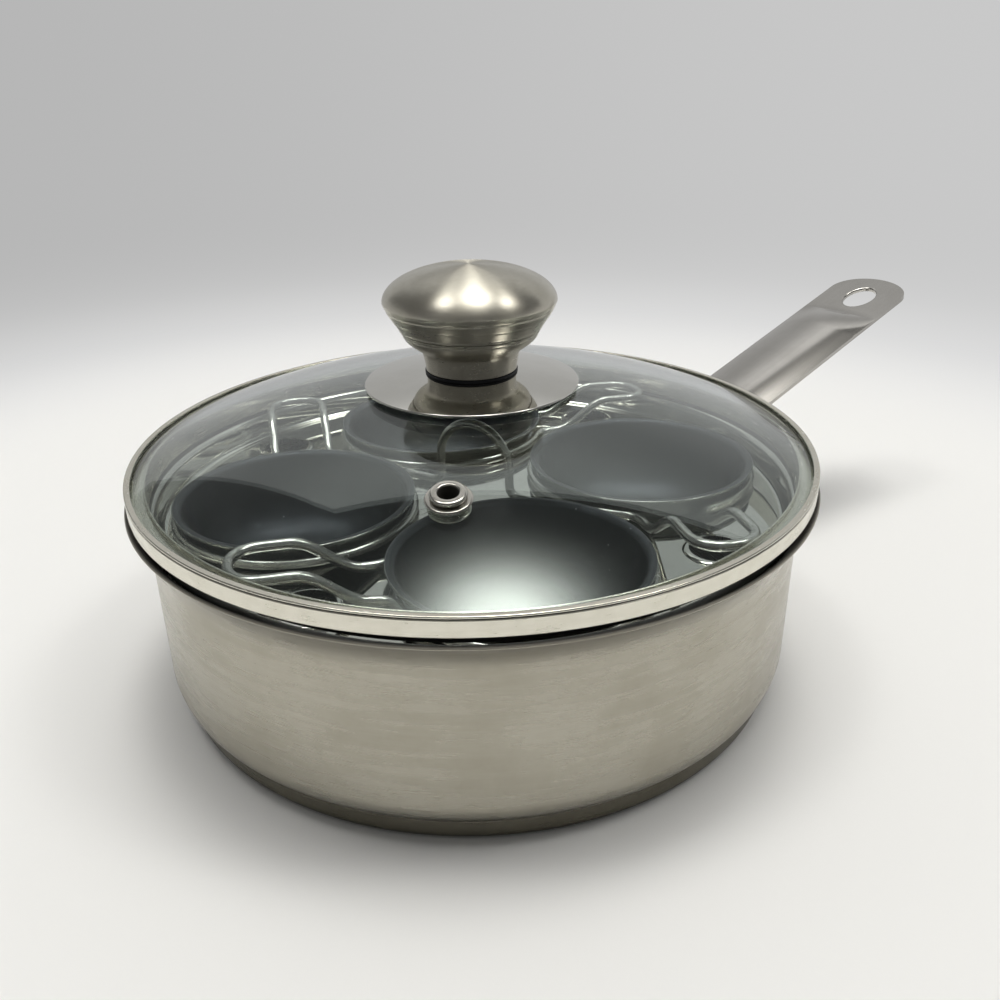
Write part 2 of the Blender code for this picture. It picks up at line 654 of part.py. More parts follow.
def build_knob(polished, rubber, knob_steel, body):
    """The knob, the domed disc under it and what clamps them to the glass."""
    glass_pass = GLASS_CENTRE_HOLE_RADIUS
    top_gasket = ring(glass_pass, GASKET_RADIUS, glass_crown_z + SEAT_GAP, disc_crown_under - SEAT_GAP)
    disc_drop = disc_ball - DISC_SHEET - math.sqrt((disc_ball - DISC_SHEET) ** 2 - GASKET_RADIUS**2)
    top_gasket[0] = (GASKET_RADIUS, disc_crown_under - SEAT_GAP - disc_drop)
    turned("knob_gasket_top", [top_gasket[0], *top_gasket[1:]], KNOB_SEGMENTS, rubber, body)
    under = ring(glass_pass, GASKET_RADIUS, under_gasket_bottom, under_gasket_top)
    glass_drop = glass_inner_ball - math.sqrt(glass_inner_ball**2 - GASKET_RADIUS**2)
    under[0] = (GASKET_RADIUS, under_gasket_top - glass_drop)
    turned("knob_gasket_under", under, KNOB_SEGMENTS, rubber, body)
    washer = ring(screw_hole_radius, WASHER_RADIUS, washer_bottom, washer_top)
    turned("knob_washer", washer, KNOB_SEGMENTS, polished, body)

    quarter = math.pi / 2
    centre = (0, disc_crown_z - disc_ball)
    rim_angle = math.asin(DISC_RADIUS / disc_ball)
    hole_angle = math.asin(screw_hole_radius / disc_ball)
    upper = arc_points(centre, disc_ball, quarter - rim_angle, quarter - hole_angle, ARC_STEPS)
    turned("knob_disc", sheet_profile(upper, DISC_SHEET), KNOB_SEGMENTS, polished, body)
    turned("knob_seal_ring", ring(glass_pass, SEAL_RADIUS, seal_bottom, seal_top), KNOB_SEGMENTS, rubber, body)

    lower = [(KNOB_RADIUS * r, knob_bottom + KNOB_BODY_HEIGHT * z) for r, z in KNOB_BODY_SHARES]
    turned(
        "knob_body",
        sheet_profile([(screw_hole_radius, knob_bottom), *lower], KNOB_SHEET),
        KNOB_SEGMENTS,
        knob_steel,
        body,
    )
    lip = knob_joint + SEAT_GAP
    widest = lip + KNOB_SKIRT_HEIGHT
    skirt = [(KNOB_RADIUS * r, lip + KNOB_SKIRT_HEIGHT * z) for r, z in KNOB_SKIRT_SHARES]
    crown_steps = ARC_STEPS + 2
    crown = [
        (
            KNOB_RADIUS * math.cos(quarter * i / crown_steps),
            widest + KNOB_CROWN_HEIGHT * math.sin(quarter * i / crown_steps),
        )
        for i in range(crown_steps)
    ]
    outer = skirt + crown + [(0, widest + KNOB_CROWN_HEIGHT)]
    inner = offset_line(outer, KNOB_SHEET)
    inner[-1] = (0, inner[-1][1])
    turned("knob_cap", outer + inner[::-1], KNOB_SEGMENTS, knob_steel, body)

    boss = ring(screw_hole_radius, BOSS_RADIUS, boss_bottom, boss_bottom + BOSS_HEIGHT)
    turned("knob_boss", boss, SMALL_SEGMENTS, polished, body)
    screw_head_bottom = screw_head_top - SCREW_HEAD_HEIGHT
    screw_tip = boss_bottom + SCREW_REACH
    screw = turned(
        "knob_screw",
        [
            (0, screw_tip),
            (SCREW_RADIUS, screw_tip),
            (SCREW_RADIUS, screw_head_top),
            (SCREW_HEAD_RADIUS, screw_head_top),
            (SCREW_HEAD_RADIUS, screw_head_top - SCREW_HEAD_HEIGHT / 2),
            (SCREW_HEAD_RADIUS * math.cos(math.pi / 4), screw_head_bottom),
            (0, screw_head_bottom),
        ],
        SMALL_SEGMENTS,
        polished,
        body,
    )
    bm = bmesh.new()
    bmesh.ops.create_cube(bm, size=1)
    bmesh.ops.scale(bm, vec=(4 * SCREW_HEAD_RADIUS, SCREW_SLOT_WIDTH, 2 * SCREW_SLOT_DEPTH), verts=bm.verts)
    slot = mesh_object("screw_slot_cutter", bm, polished, body)
    slot.location = (0, 0, screw_head_bottom)
    slot.hide_render = True
    slot.display_type = "WIRE"
    boolean(screw, slot, "DIFFERENCE")


def build_insert(polished, wire_steel, body):
    """The plate with its cup holes and finger holes, and its lifting handle."""
    path = rounded_path([
        (0, plate_under, 0),
        (plate_wall_radius, plate_under, PLATE_FOOT_FILLET),
        (plate_wall_radius, plate_lip_under, PLATE_LIP_FILLET),
        (plate_lip_radius, plate_lip_under, 0),
    ], 2)
    plate = turned("insert_plate", sheet_profile(path, PLATE_SHEET), PAN_SEGMENTS, polished, body)
    for i in range(CUP_COUNT):
        azimuth = math.tau * i / CUP_COUNT
        spot = Matrix.Rotation(azimuth, 4, "Z") @ Matrix.Translation((cup_pitch_radius, 0, 0))
        hole = cutter(
            f"cup_hole_cutter_{i + 1}",
            ring(0, cup_hole_radius, plate_under - CUT_OVERRUN, plate_top + CUT_OVERRUN),
            CUP_SEGMENTS,
            body,
        )
        hole.matrix_local = spot
        boolean(plate, hole, "DIFFERENCE")

        between = azimuth - math.pi / CUP_COUNT
        place = plate_wall_radius - FINGER_HOLE_TO_WALL
        spot = Matrix.Rotation(between, 4, "Z") @ Matrix.Translation((place, 0, 0))
        raised = cutter(
            f"finger_ring_tool_{i + 1}",
            ring(0, FINGER_HOLE_RADIUS + FINGER_RING_WIDTH, plate_under + PLATE_SHEET / 2,
                 plate_top + FINGER_RING_HEIGHT),
            SMALL_SEGMENTS,
            body,
        )
        raised.matrix_local = spot
        boolean(plate, raised, "UNION")
        hole = cutter(
            f"finger_hole_cutter_{i + 1}",
            ring(0, FINGER_HOLE_RADIUS, plate_under - CUT_OVERRUN, plate_top + CUT_OVERRUN),
            SMALL_SEGMENTS,
            body,
        )
        hole.matrix_local = spot
        boolean(plate, hole, "DIFFERENCE")

    foot_z = plate_top + SEAT_GAP + LIFT_WIRE_RADIUS
    top_centre_z = plate_top + LIFT_HEIGHT - LIFT_WIRE_RADIUS - LIFT_HALF_WIDTH
    leg = rounded_path([
        (LIFT_FOOT_REACH, foot_z, 0),
        (LIFT_HALF_WIDTH, foot_z, LIFT_BEND_RADIUS),
        (LIFT_HALF_WIDTH, top_centre_z, 0),
    ], 3)
    arch = arc_points((0, top_centre_z), LIFT_HALF_WIDTH, 0, math.pi, 2 * ARC_STEPS)
    line = leg[:-1] + arch + [(-r, z) for r, z in leg[-2::-1]]
    lift = wire_object(
        "insert_handle", [(r, 0, z) for r, z in line], LIFT_WIRE_RADIUS, False, wire_steel, body
    )
    lift.rotation_euler = (0, 0, -math.pi / CUP_COUNT)


def loop_height(reach):
    """Height of a cup wire at a distance out from the cup's axis."""
    climb = smooth_step((reach - loop_ramp_start) / (loop_ramp_end - loop_ramp_start))
    return cup_wire_z + (plate_top + LOOP_HEIGHT - cup_wire_z) * climb


def eased_corner(before, corner, after, steps):
    """Points on a curve that turns from one line into another at a corner."""
    points = []
    for i in range(steps + 1):
        t = i / steps
        points.append(before * (1 - t) ** 2 + corner * 2 * t * (1 - t) + after * t**2)
    return points


def cup_wire_line():
    """Closed line of a cup's wire: out along one leg, round the end, back, and round the hoop."""
    root_a = Vector((math.sqrt(hoop_radius**2 - loop_side_a**2), loop_side_a))
    root_b = Vector((math.sqrt(hoop_radius**2 - loop_side_b**2), loop_side_b))
    angle_a = math.atan2(root_a.y, root_a.x)
    angle_b = math.atan2(root_b.y, root_b.x)
    ease_angle = LOOP_ROOT_EASE / hoop_radius
    out = Vector((LOOP_ROOT_EASE, 0))

    def on_hoop(angle):
        return Vector((math.cos(angle), math.sin(angle))) * hoop_radius

    plan = eased_corner(on_hoop(angle_a - ease_angle), root_a, root_a + out, 3)
    ramp = loop_ramp_end - loop_ramp_start
    climb = [loop_ramp_start + ramp * i / ARC_STEPS for i in range(ARC_STEPS + 1)]
    plan += [Vector((reach, loop_side_a)) for reach in climb]
    end = rounded_path([
        (loop_ramp_end, loop_side_a, 0),
        (loop_reach, loop_side_a, LOOP_END_RADIUS),
        (loop_reach, loop_side_b, LOOP_END_RADIUS),
        (loop_ramp_end, loop_side_b, 0),
    ])
    plan += [Vector(point) for point in end[1:-1]]
    plan += [Vector((reach, loop_side_b)) for reach in climb[::-1]]
    plan += eased_corner(root_b + out, root_b, on_hoop(angle_b + ease_angle), 3)
    first = angle_b + ease_angle
    span = math.tau - (angle_b - angle_a) - 2 * ease_angle
    hoop_steps = CUP_SEGMENTS - ARC_STEPS
    plan += [on_hoop(first + span * i / hoop_steps) for i in range(1, hoop_steps)]
    return [(point.x, point.y, loop_height(point.x)) for point in plan]


def build_cup(number, coated, wire_steel, insert):
    """One cup with its wire, in a frame on the cup's own axis."""
    azimuth = math.tau * (number - 1) / CUP_COUNT
    place = (cup_pitch_radius * math.cos(azimuth), cup_pitch_radius * math.sin(azimuth), 0)
    body = frame(f"cup_{number}_frame", insert, place, azimuth)
    path = rounded_path([
        (0, cup_foot_z, 0),
        (cup_foot_radius, cup_foot_z, CUP_CORNER_RADIUS),
        (cup_mouth_radius, cup_flange_under, CUP_FLANGE_FILLET),
        (cup_flange_radius, cup_flange_under, 0),
    ], 2)
    turned(f"cup_{number}", sheet_profile(path, CUP_SHEET), CUP_SEGMENTS, coated, body)
    line = cup_wire_line()
    wire = wire_object(f"cup_wire_{number}", line, CUP_WIRE_RADIUS, True, wire_steel, body)
    wire.rotation_euler = (0, 0, -math.pi / 2)


def main():
    """Build every piece of the egg poacher pan."""
    clear_scene()
    brushed = finish("brushed_steel", (0.56, 0.54, 0.50), 0.32, 1.0)
    pressed = finish("pressed_steel", (0.55, 0.53, 0.50), 0.28, 1.0)
    band_steel = finish("band_steel", (0.66, 0.64, 0.59), 0.30, 1.0)
    polished = finish("polished_steel", (0.70, 0.69, 0.66), 0.06, 1.0)
    knob_steel = finish("knob_steel", (0.50, 0.48, 0.44), 0.26, 1.0)
    wire_steel = finish("wire_steel", (0.64, 0.63, 0.60), 0.16, 1.0)
    aluminium = finish("aluminium", (0.72, 0.72, 0.73), 0.45, 1.0)
    rubber = finish("black_rubber", (0.02, 0.02, 0.02), 0.65, 0.0)
    glass = finish("tempered_glass", (0.90, 0.95, 0.93), 0.02, 0.0, 1.0)
    coated = finish("non_stick_coating", (0.045, 0.045, 0.048), 0.38, 0.0)

    build_pan(brushed, aluminium, pressed)
    lid = frame("lid_frame")
    build_lid(glass, band_steel, polished, rubber, knob_steel, lid)
    insert = frame("insert_frame", turn=INSERT_TURN)
    build_insert(polished, wire_steel, insert)
    for number in range(1, CUP_COUNT + 1):
        build_cup(number, coated, wire_steel, insert)


main()
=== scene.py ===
"""Egg poacher pan: the finished look of the pan, its domed glass lid, the lift-out plate and the four cups.

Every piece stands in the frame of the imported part: metres, +Z up, the pan's axis on Z, the handle along +X.
"""

import logging
import math
from dataclasses import dataclass, field
from enum import Enum

import bmesh
import bpy
from mathutils import Matrix, Vector


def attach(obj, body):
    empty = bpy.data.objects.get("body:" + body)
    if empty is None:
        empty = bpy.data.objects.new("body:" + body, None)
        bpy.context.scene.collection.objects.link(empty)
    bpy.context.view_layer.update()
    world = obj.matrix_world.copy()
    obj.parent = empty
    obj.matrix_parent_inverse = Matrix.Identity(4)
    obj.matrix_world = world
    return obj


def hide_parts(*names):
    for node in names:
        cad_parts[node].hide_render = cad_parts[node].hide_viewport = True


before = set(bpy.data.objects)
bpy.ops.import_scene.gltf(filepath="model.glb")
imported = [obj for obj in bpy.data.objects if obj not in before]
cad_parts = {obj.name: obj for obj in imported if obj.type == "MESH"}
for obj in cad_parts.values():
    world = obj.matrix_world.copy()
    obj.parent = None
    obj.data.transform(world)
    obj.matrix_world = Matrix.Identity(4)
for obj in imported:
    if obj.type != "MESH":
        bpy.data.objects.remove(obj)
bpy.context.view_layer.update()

LOG = logging.getLogger("egg_poacher_pan")
MM = 0.001
QUARTER = math.pi / 2

Colour = tuple[float, float, float]
Point = tuple[float, float]
Span = tuple[float, float]
Settings = dict[str, object]
Sockets = dict[str | int, object]
Line = list[Point]


# Shader sums


class Signal:
    """A node's output that can be used in Python sums."""

    def __init__(self, graph: "Graph", socket: bpy.types.NodeSocket) -> None:
        """Wrap one output socket of a graph."""
        self.graph = graph
        self.socket = socket

    def _sum(self, operation: str, first: "Signal | float", second: "Signal | float") -> "Signal":
        """Add the node that works out one step of a sum.

        Args:
            operation: The name that Math and Vector Math share for the step.
            first: The left-hand side.
            second: The right-hand side.

        Returns:
            The step's result.
        """
        vector = any(isinstance(v, Signal) and v.socket.type == "VECTOR" for v in (first, second))
        kind = "ShaderNodeVectorMath" if vector else "ShaderNodeMath"
        sides = {}
        for place, value in enumerate((first, second)):
            sides[place] = (value,) * 3 if vector and isinstance(value, (int, float)) else value
        return self.graph.signal(kind, {"operation": operation}, sides)

    def __add__(self, other: "Signal | float") -> "Signal":
        """Return self + other."""
        return self._sum("ADD", self, other)

    def __radd__(self, other: float) -> "Signal":
        """Return other + self."""
        return self._sum("ADD", other, self)

    def __sub__(self, other: "Signal | float") -> "Signal":
        """Return self - other."""
        return self._sum("SUBTRACT", self, other)

    def __rsub__(self, other: float) -> "Signal":
        """Return other - self."""
        return self._sum("SUBTRACT", other, self)

    def __mul__(self, other: "Signal | float") -> "Signal":
        """Return self * other."""
        return self._sum("MULTIPLY", self, other)

    def __rmul__(self, other: float) -> "Signal":
        """Return other * self."""
        return self._sum("MULTIPLY", other, self)

    def __truediv__(self, other: "Signal | float") -> "Signal":
        """Return self / other."""
        return self._sum("DIVIDE", self, other)

    def __pow__(self, other: float) -> "Signal":
        """Return self raised to a power."""
        return self._sum("POWER", self, other)

    def above(self, floor: float) -> "Signal":
        """Return the larger of self and a number."""
        return self._sum("MAXIMUM", self, floor)

    def between(self, low: float, high: float) -> "Signal":
        """Ease from 0 at low to 1 at high, level outside them.

        Args:
            low: Where it starts to rise.
            high: Where it is full.

        Returns:
            The eased signal.
        """
        return self.graph.signal(
            "ShaderNodeMapRange",
            {"interpolation_type": "SMOOTHSTEP"},
            {"Value": self, "From Min": low, "From Max": high},
        )


class Graph:
    """A node tree that is filled from Python."""

    def __init__(self, tree: bpy.types.NodeTree) -> None:
        """Empty the tree and keep it."""
        tree.nodes.clear()
        self.tree = tree

    def node(
        self, kind: str, settings: Settings | None = None, sockets: Sockets | None = None
    ) -> bpy.types.Node:
        """Add one node.

        Args:
            kind: The node's type.
            settings: Its properties, which are set first.
            sockets: A value or a signal for each input, by name or by place.

        Returns:
            The new node.
        """
        node = self.tree.nodes.new(kind)
        for name, value in (settings or {}).items():
            setattr(node, name, value)
        for name, value in (sockets or {}).items():
            if isinstance(value, Signal):
                self.tree.links.new(value.socket, node.inputs[name])
            elif isinstance(value, tuple) and node.inputs[name].type == "RGBA":
                node.inputs[name].default_value = (*value[:3], 1.0)
            else:
                node.inputs[name].default_value = value
        return node

    def signal(
        self,
        kind: str,
        settings: Settings | None = None,
        sockets: Sockets | None = None,
        output: str | int = 0,
    ) -> Signal:
        """Add one node and return one of its outputs.

        Args:
            kind: The node's type.
            settings: Its properties.
            sockets: Values or signals for its inputs.
            output: The output's name or place.

        Returns:
            The output as a signal.
        """
        return Signal(self, self.node(kind, settings, sockets).outputs[output])

    def place(self) -> Signal:
        """Return the point on the piece, in its own axes and in metres."""
        return self.signal("ShaderNodeTexCoord", output="Object")

    def parts(self, vector: Signal) -> tuple[Signal, Signal, Signal]:
        """Split a vector into its three numbers."""
        split = self.node("ShaderNodeSeparateXYZ", sockets={0: vector})
        return tuple(Signal(self, split.outputs[i]) for i in range(3))

    def ray(self, kind: str) -> Signal:
        """Return 1 for rays of a kind and 0 for all others."""
        return self.signal("ShaderNodeLightPath", output=f"Is {kind} Ray")

    def outward(self, place: Signal) -> Signal:
        """Return how far a face looks away from the piece's axis, from -1 to 1.

        Args:
            place: The point on the piece.

        Returns:
            The facing, as a signal.
        """
        x, y, _ = self.parts(place)
        normal_x, normal_y, _ = self.parts(self.signal("ShaderNodeTexCoord", output="Normal"))
        return (x * normal_x + y * normal_y) / ((x * x + y * y) ** 0.5).above(MM)

    def noise(self, vector: Signal, scale: float, detail: float = 2.0, roughness: float = 0.5) -> Signal:
        """Return soft noise from about 0.3 to 0.7.

        Args:
            vector: Where the noise is read.
            scale: How many lumps a metre has.
            detail: How many finer layers it has.
            roughness: How strong those layers are.

        Returns:
            The noise.
        """
        return self.signal(
            "ShaderNodeTexNoise", None,
            {"Vector": vector, "Scale": scale, "Detail": detail, "Roughness": roughness},
        )

    def stretched(self, vector: Signal, sizes: Colour) -> Signal:
        """Return a vector times a size along each axis."""
        return self.signal("ShaderNodeVectorMath", {"operation": "MULTIPLY"}, {0: vector, 1: sizes})

    def blend(self, share: Signal, first: Colour | Signal, second: Colour | Signal) -> Signal:
        """Mix two colours.

        Args:
            share: How much of the second colour shows.
            first: The colour at 0.
            second: The colour at 1.

        Returns:
            The mixed colour.
        """
        mixer = self.node("ShaderNodeMix", {"data_type": "RGBA"})
        colours = [socket for socket in mixer.inputs if socket.type == "RGBA"]
        self.tree.links.new(share.socket, mixer.inputs["Factor"])
        for socket, value in zip(colours, (first, second)):
            if isinstance(value, Signal):
                self.tree.links.new(value.socket, socket)
            else:
                socket.default_value = (*value, 1.0)
        return Signal(self, next(out for out in mixer.outputs if out.type == "RGBA"))

    def shader(self, sockets: Sockets) -> Signal:
        """Add a Principled shader with the given sockets."""
        return self.signal("ShaderNodeBsdfPrincipled", None, sockets)

    def relief(self, height: Signal, depth: float, strength: float) -> Signal:
        """Turn a height into a normal.

        Args:
            height: The height from 0 to 1.
            depth: The height's real size in metres.
            strength: How much of it shows.

        Returns:
            The bent normal.
        """
        return self.signal(
            "ShaderNodeBump", None, {"Height": height, "Distance": depth, "Strength": strength}, "Normal"
        )

    def mixed(self, share: Signal, first: Signal, second: Signal) -> Signal:
        """Mix two shaders; the share says how much of the second shows."""
        return self.signal("ShaderNodeMixShader", None, {0: share, 1: first, 2: second})

    def surface(self, shader: Signal) -> None:
        """Use a shader as the material's surface."""
        self.node("ShaderNodeOutputMaterial", None, {"Surface": shader})


def new_graph(name: str) -> tuple[bpy.types.Material, Graph]:
    """Start an empty material and its graph.

    Args:
        name: The material's name.

    Returns:
        The material and its graph.
    """
    material = bpy.data.materials.new(name)
    material.use_nodes = True
    return material, Graph(material.node_tree)


class Lay(Enum):
    """Which way a metal's polishing lines run."""

    ROUND = "round the axis"
    ALONG = "along the strip"
    EVEN = "no way in particular"


@dataclass(frozen=True)
class PaintedShadeRing:
    """A ring-shaped zone round the axis where the finish paints shade: the metal there is made dark, matte
    and non-metallic.
    """

    inner: float
    outer: float
    low: float
    high: float
    edge: float = 0.12 * MM

    def share(self, reach: Signal, z: Signal) -> Signal:
        """Return 1 in the zone and 0 outside it.

        Args:
            reach: The distance from the axis.
            z: The height.

        Returns:
            The zone's share.
        """
        inside = 1 - reach.between(self.outer - self.edge, self.outer + self.edge)
        if self.inner > 0:
            inside = inside * reach.between(self.inner - self.edge, self.inner + self.edge)
        level = z.between(self.low - self.edge, self.low + self.edge)
        return inside * level * (1 - z.between(self.high - self.edge, self.high + self.edge))


@dataclass(frozen=True)
class SteelFinish:
    """Polished or brushed metal with fine lines, faint stains and small scratches, and painted shade in
    listed rings and on faces that do not look outward above a height.

    Each span is the part of a noise or of a facing over which the layer goes from 0 to 1.
    """

    slot: str
    colour: Colour
    tarnish: Colour
    roughness: float
    spread: float
    lay: Lay = Lay.EVEN
    line_pitch: float = 0.25 * MM
    line_depth: float = 0.004 * MM
    line_share: float = 0.5
    patch: float = 22.0 * MM
    across: float = 0.0
    rise: float = 0.0
    sweep: float = 9.0
    polish_below: float = 0.0
    polish: float = 0.0
    # Painted shade: the rings where it is painted, its colour, and the height above which faces that do not
    # look outward get it.
    painted_shade_rings: tuple[PaintedShadeRing, ...] = ()
    painted_shade_colour: Colour = (0.045, 0.042, 0.036)
    painted_shade_inside_above: float = 0.0
    fine_span: Span = (0.3, 0.7)
    broad_span: Span = (0.32, 0.68)
    patch_span: Span = (0.34, 0.68)
    speck_span: Span = (0.42, 0.75)
    facing_span: Span = (0.45, 1.0)
    stain_shares: tuple[float, float, float] = (0.55, 0.3, 0.15)
    # Painted shade: how much rougher the metal gets where shade is painted.
    painted_shade_roughness: float = 0.4
    fade: float = 2.0 * MM

    def _grain_place(self, graph: Graph, place: Signal) -> tuple[Signal, Signal | float]:
        """Work out where the lines are read.

        Args:
            graph: The material's graph.
            place: The point on the piece.

        Returns:
            A vector that changes slowly along a line and fast across it, and a fourth number for noise.
        """
        fast = 1 / self.line_pitch
        if self.lay is Lay.ALONG:
            level = graph.signal(
                "ShaderNodeVectorRotate", {"rotation_type": "Y_AXIS"}, {"Vector": place, "Angle": self.rise}
            )
            return graph.stretched(level, (fast / 90, fast, fast)), 0.0
        if self.lay is Lay.EVEN:
            return graph.stretched(place, (fast, fast, fast)), 0.0
        x, y, z = graph.parts(place)
        reach = ((x * x + y * y) ** 0.5).above(MM * 0.01)
        sockets = {"X": x / reach * self.sweep, "Y": y / reach * self.sweep, "Z": z * fast}
        return graph.signal("ShaderNodeCombineXYZ", None, sockets), reach * fast

    def build(self) -> bpy.types.Material:
        """Make the material.

        Returns:
            The material.
        """
        material, graph = new_graph(f"{self.slot}_finish")
        place = graph.place()
        vector, fourth = self._grain_place(graph, place)

        def lines(scale: float, detail: float) -> Signal:
            """Read the lines at a scale.

            Args:
                scale: How fine the lines are.
                detail: How many finer layers they have.

            Returns:
                The lines, as noise.
            """
            sockets: Sockets = {"Vector": vector, "W": fourth, "Scale": scale}
            if self.lay is Lay.ROUND:
                finer = graph.stretched(vector, (1.0, 1.0, scale))
                sockets = {"Vector": finer, "W": fourth * scale, "Scale": 1.0}
            sockets |= {"Detail": detail, "Roughness": 0.6}
            return graph.signal("ShaderNodeTexNoise", {"noise_dimensions": "4D"}, sockets)

        fine = lines(1.0, 2.0).between(*self.fine_span)
        broad = lines(0.14, 3.0).between(*self.broad_span)
        patches = graph.noise(place, 1 / self.patch, 4.0, 0.6).between(*self.patch_span)
        specks = graph.noise(place, 6 / self.patch, 3.0, 0.7).between(*self.speck_span)
        grain = fine * self.line_share + broad * (1 - self.line_share)
        by_patch, by_line, by_speck = self.stain_shares
        stain = patches * by_patch + broad * by_line + specks * by_speck
        colour = graph.blend(stain, self.colour, self.tarnish)
        roughness = (grain - 0.5) * self.spread + (patches - 0.5) * (self.spread * 0.5) + self.roughness
        x, y, z = graph.parts(place)
        if self.polish_below:
            satin = z.between(self.polish_below - self.fade, self.polish_below + self.fade)
            roughness = roughness + (satin - 1) * (self.roughness - self.polish)
        reach = (x * x + y * y) ** 0.5
        # Painted shade: each ring, and faces that do not look outward above a height, blend to a dark matte
        # colour that is rougher and not metallic.
        painted_shades = [shade_ring.share(reach, z) for shade_ring in self.painted_shade_rings]
        if self.painted_shade_inside_above:
            inward_painted_shade = 1 - graph.outward(place).between(*self.facing_span)
            painted_shades.append(inward_painted_shade * z.between(self.painted_shade_inside_above, self.painted_shade_inside_above + self.fade))
        metal: Signal | float = 1.0
        for painted_shade in painted_shades:
            colour = graph.blend(painted_shade, colour, self.painted_shade_colour)
            roughness = roughness + painted_shade * self.painted_shade_roughness
            metal = (1 - painted_shade) * metal
        sockets: Sockets = {
            "Base Color": colour,
            "Metallic": metal,
            "Roughness": roughness,
            "Normal": graph.relief(grain, self.line_depth, 1.0),
        }
        if self.across:
            sockets["Anisotropic"] = self.across
            sockets["Anisotropic Rotation"] = 0.25
        graph.surface(graph.shader(sockets))
        return material


@dataclass(frozen=True)
class GlassFinish:
    """Clear toughened glass with a faint film of dust."""

    slot: str
    tint: Colour = (0.895, 0.947, 0.93)
    gleam: Colour = (0.91, 1.0, 0.94)
    shade: Colour = (0.94, 0.965, 0.955)
    film_span: Span = (0.48, 0.80)
    index: float = 1.5

    def build(self) -> bpy.types.Material:
        """Make the material, which lets lamplight through without caustics.

        Returns:
            The material.
        """
        material, graph = new_graph(f"{self.slot}_finish")
        place = graph.place()
        film = graph.noise(place, 38.0, 4.0, 0.6).between(*self.film_span)
        glass = graph.shader({
            "Base Color": self.tint,
            "Roughness": film * 0.01,
            "IOR": self.index,
            "Specular Tint": self.gleam,
            "Transmission Weight": 1.0,
            "Coat Weight": film * 0.08,
            "Coat Roughness": 0.3,
            "Coat IOR": self.index,
        })
        clear = graph.signal("ShaderNodeBsdfTransparent", None, {"Color": self.shade})
        graph.surface(graph.mixed(graph.ray("Shadow"), glass, clear))
        return material


@dataclass(frozen=True)
class CoatedFinish:
    """Dark non-stick coating or rubber: satin, slightly pebbled, with rubbed patches."""

    slot: str
    colour: Colour
    rubbed: Colour
    roughness: float
    spread: float = 0.12
    pebble: float = 0.5 * MM
    depth: float = 0.004 * MM
    outer: Colour | None = None
    outer_roughness: float = 0.2
    outer_metal: float = 0.0
    dust: Colour = (0.13, 0.133, 0.136)
    sheen: Colour = (0.82, 0.87, 1.0)
    gloss: float = 0.38
    rub_span: Span = (0.4, 0.72)
    mote_span: Span = (0.035, 0.06)
    facing_span: Span = (0.05, 0.35)
    mote_scale: float = 170.0

    def build(self) -> bpy.types.Material:
        """Make the material.

        Returns:
            The material.
        """
        material, graph = new_graph(f"{self.slot}_finish")
        place = graph.place()
        rub = graph.noise(place, 55.0, 4.0, 0.6).between(*self.rub_span)
        pebbles = graph.noise(place, 1 / self.pebble, 2.0, 0.55)
        spots = {"Vector": place, "Scale": self.mote_scale}
        motes = graph.signal("ShaderNodeTexVoronoi", {"feature": "F1"}, spots, "Distance")
        mote = 1 - motes.between(*self.mote_span)
        colour = graph.blend(mote, graph.blend(rub, self.colour, self.rubbed), self.dust)
        roughness = (rub - 0.5) * self.spread + self.roughness
        sockets: Sockets = {
            "Normal": graph.relief(pebbles, self.depth, 0.6),
            "Specular Tint": self.sheen,
            "Specular IOR Level": self.gloss,
        }
        if self.outer:
            outside = graph.outward(place).between(*self.facing_span)
            colour = graph.blend(outside, colour, self.outer)
            roughness = roughness + outside * (self.outer_roughness - self.roughness)
            sockets["Metallic"] = outside * self.outer_metal
        graph.surface(graph.shader(sockets | {"Base Color": colour, "Roughness": roughness}))
        return material


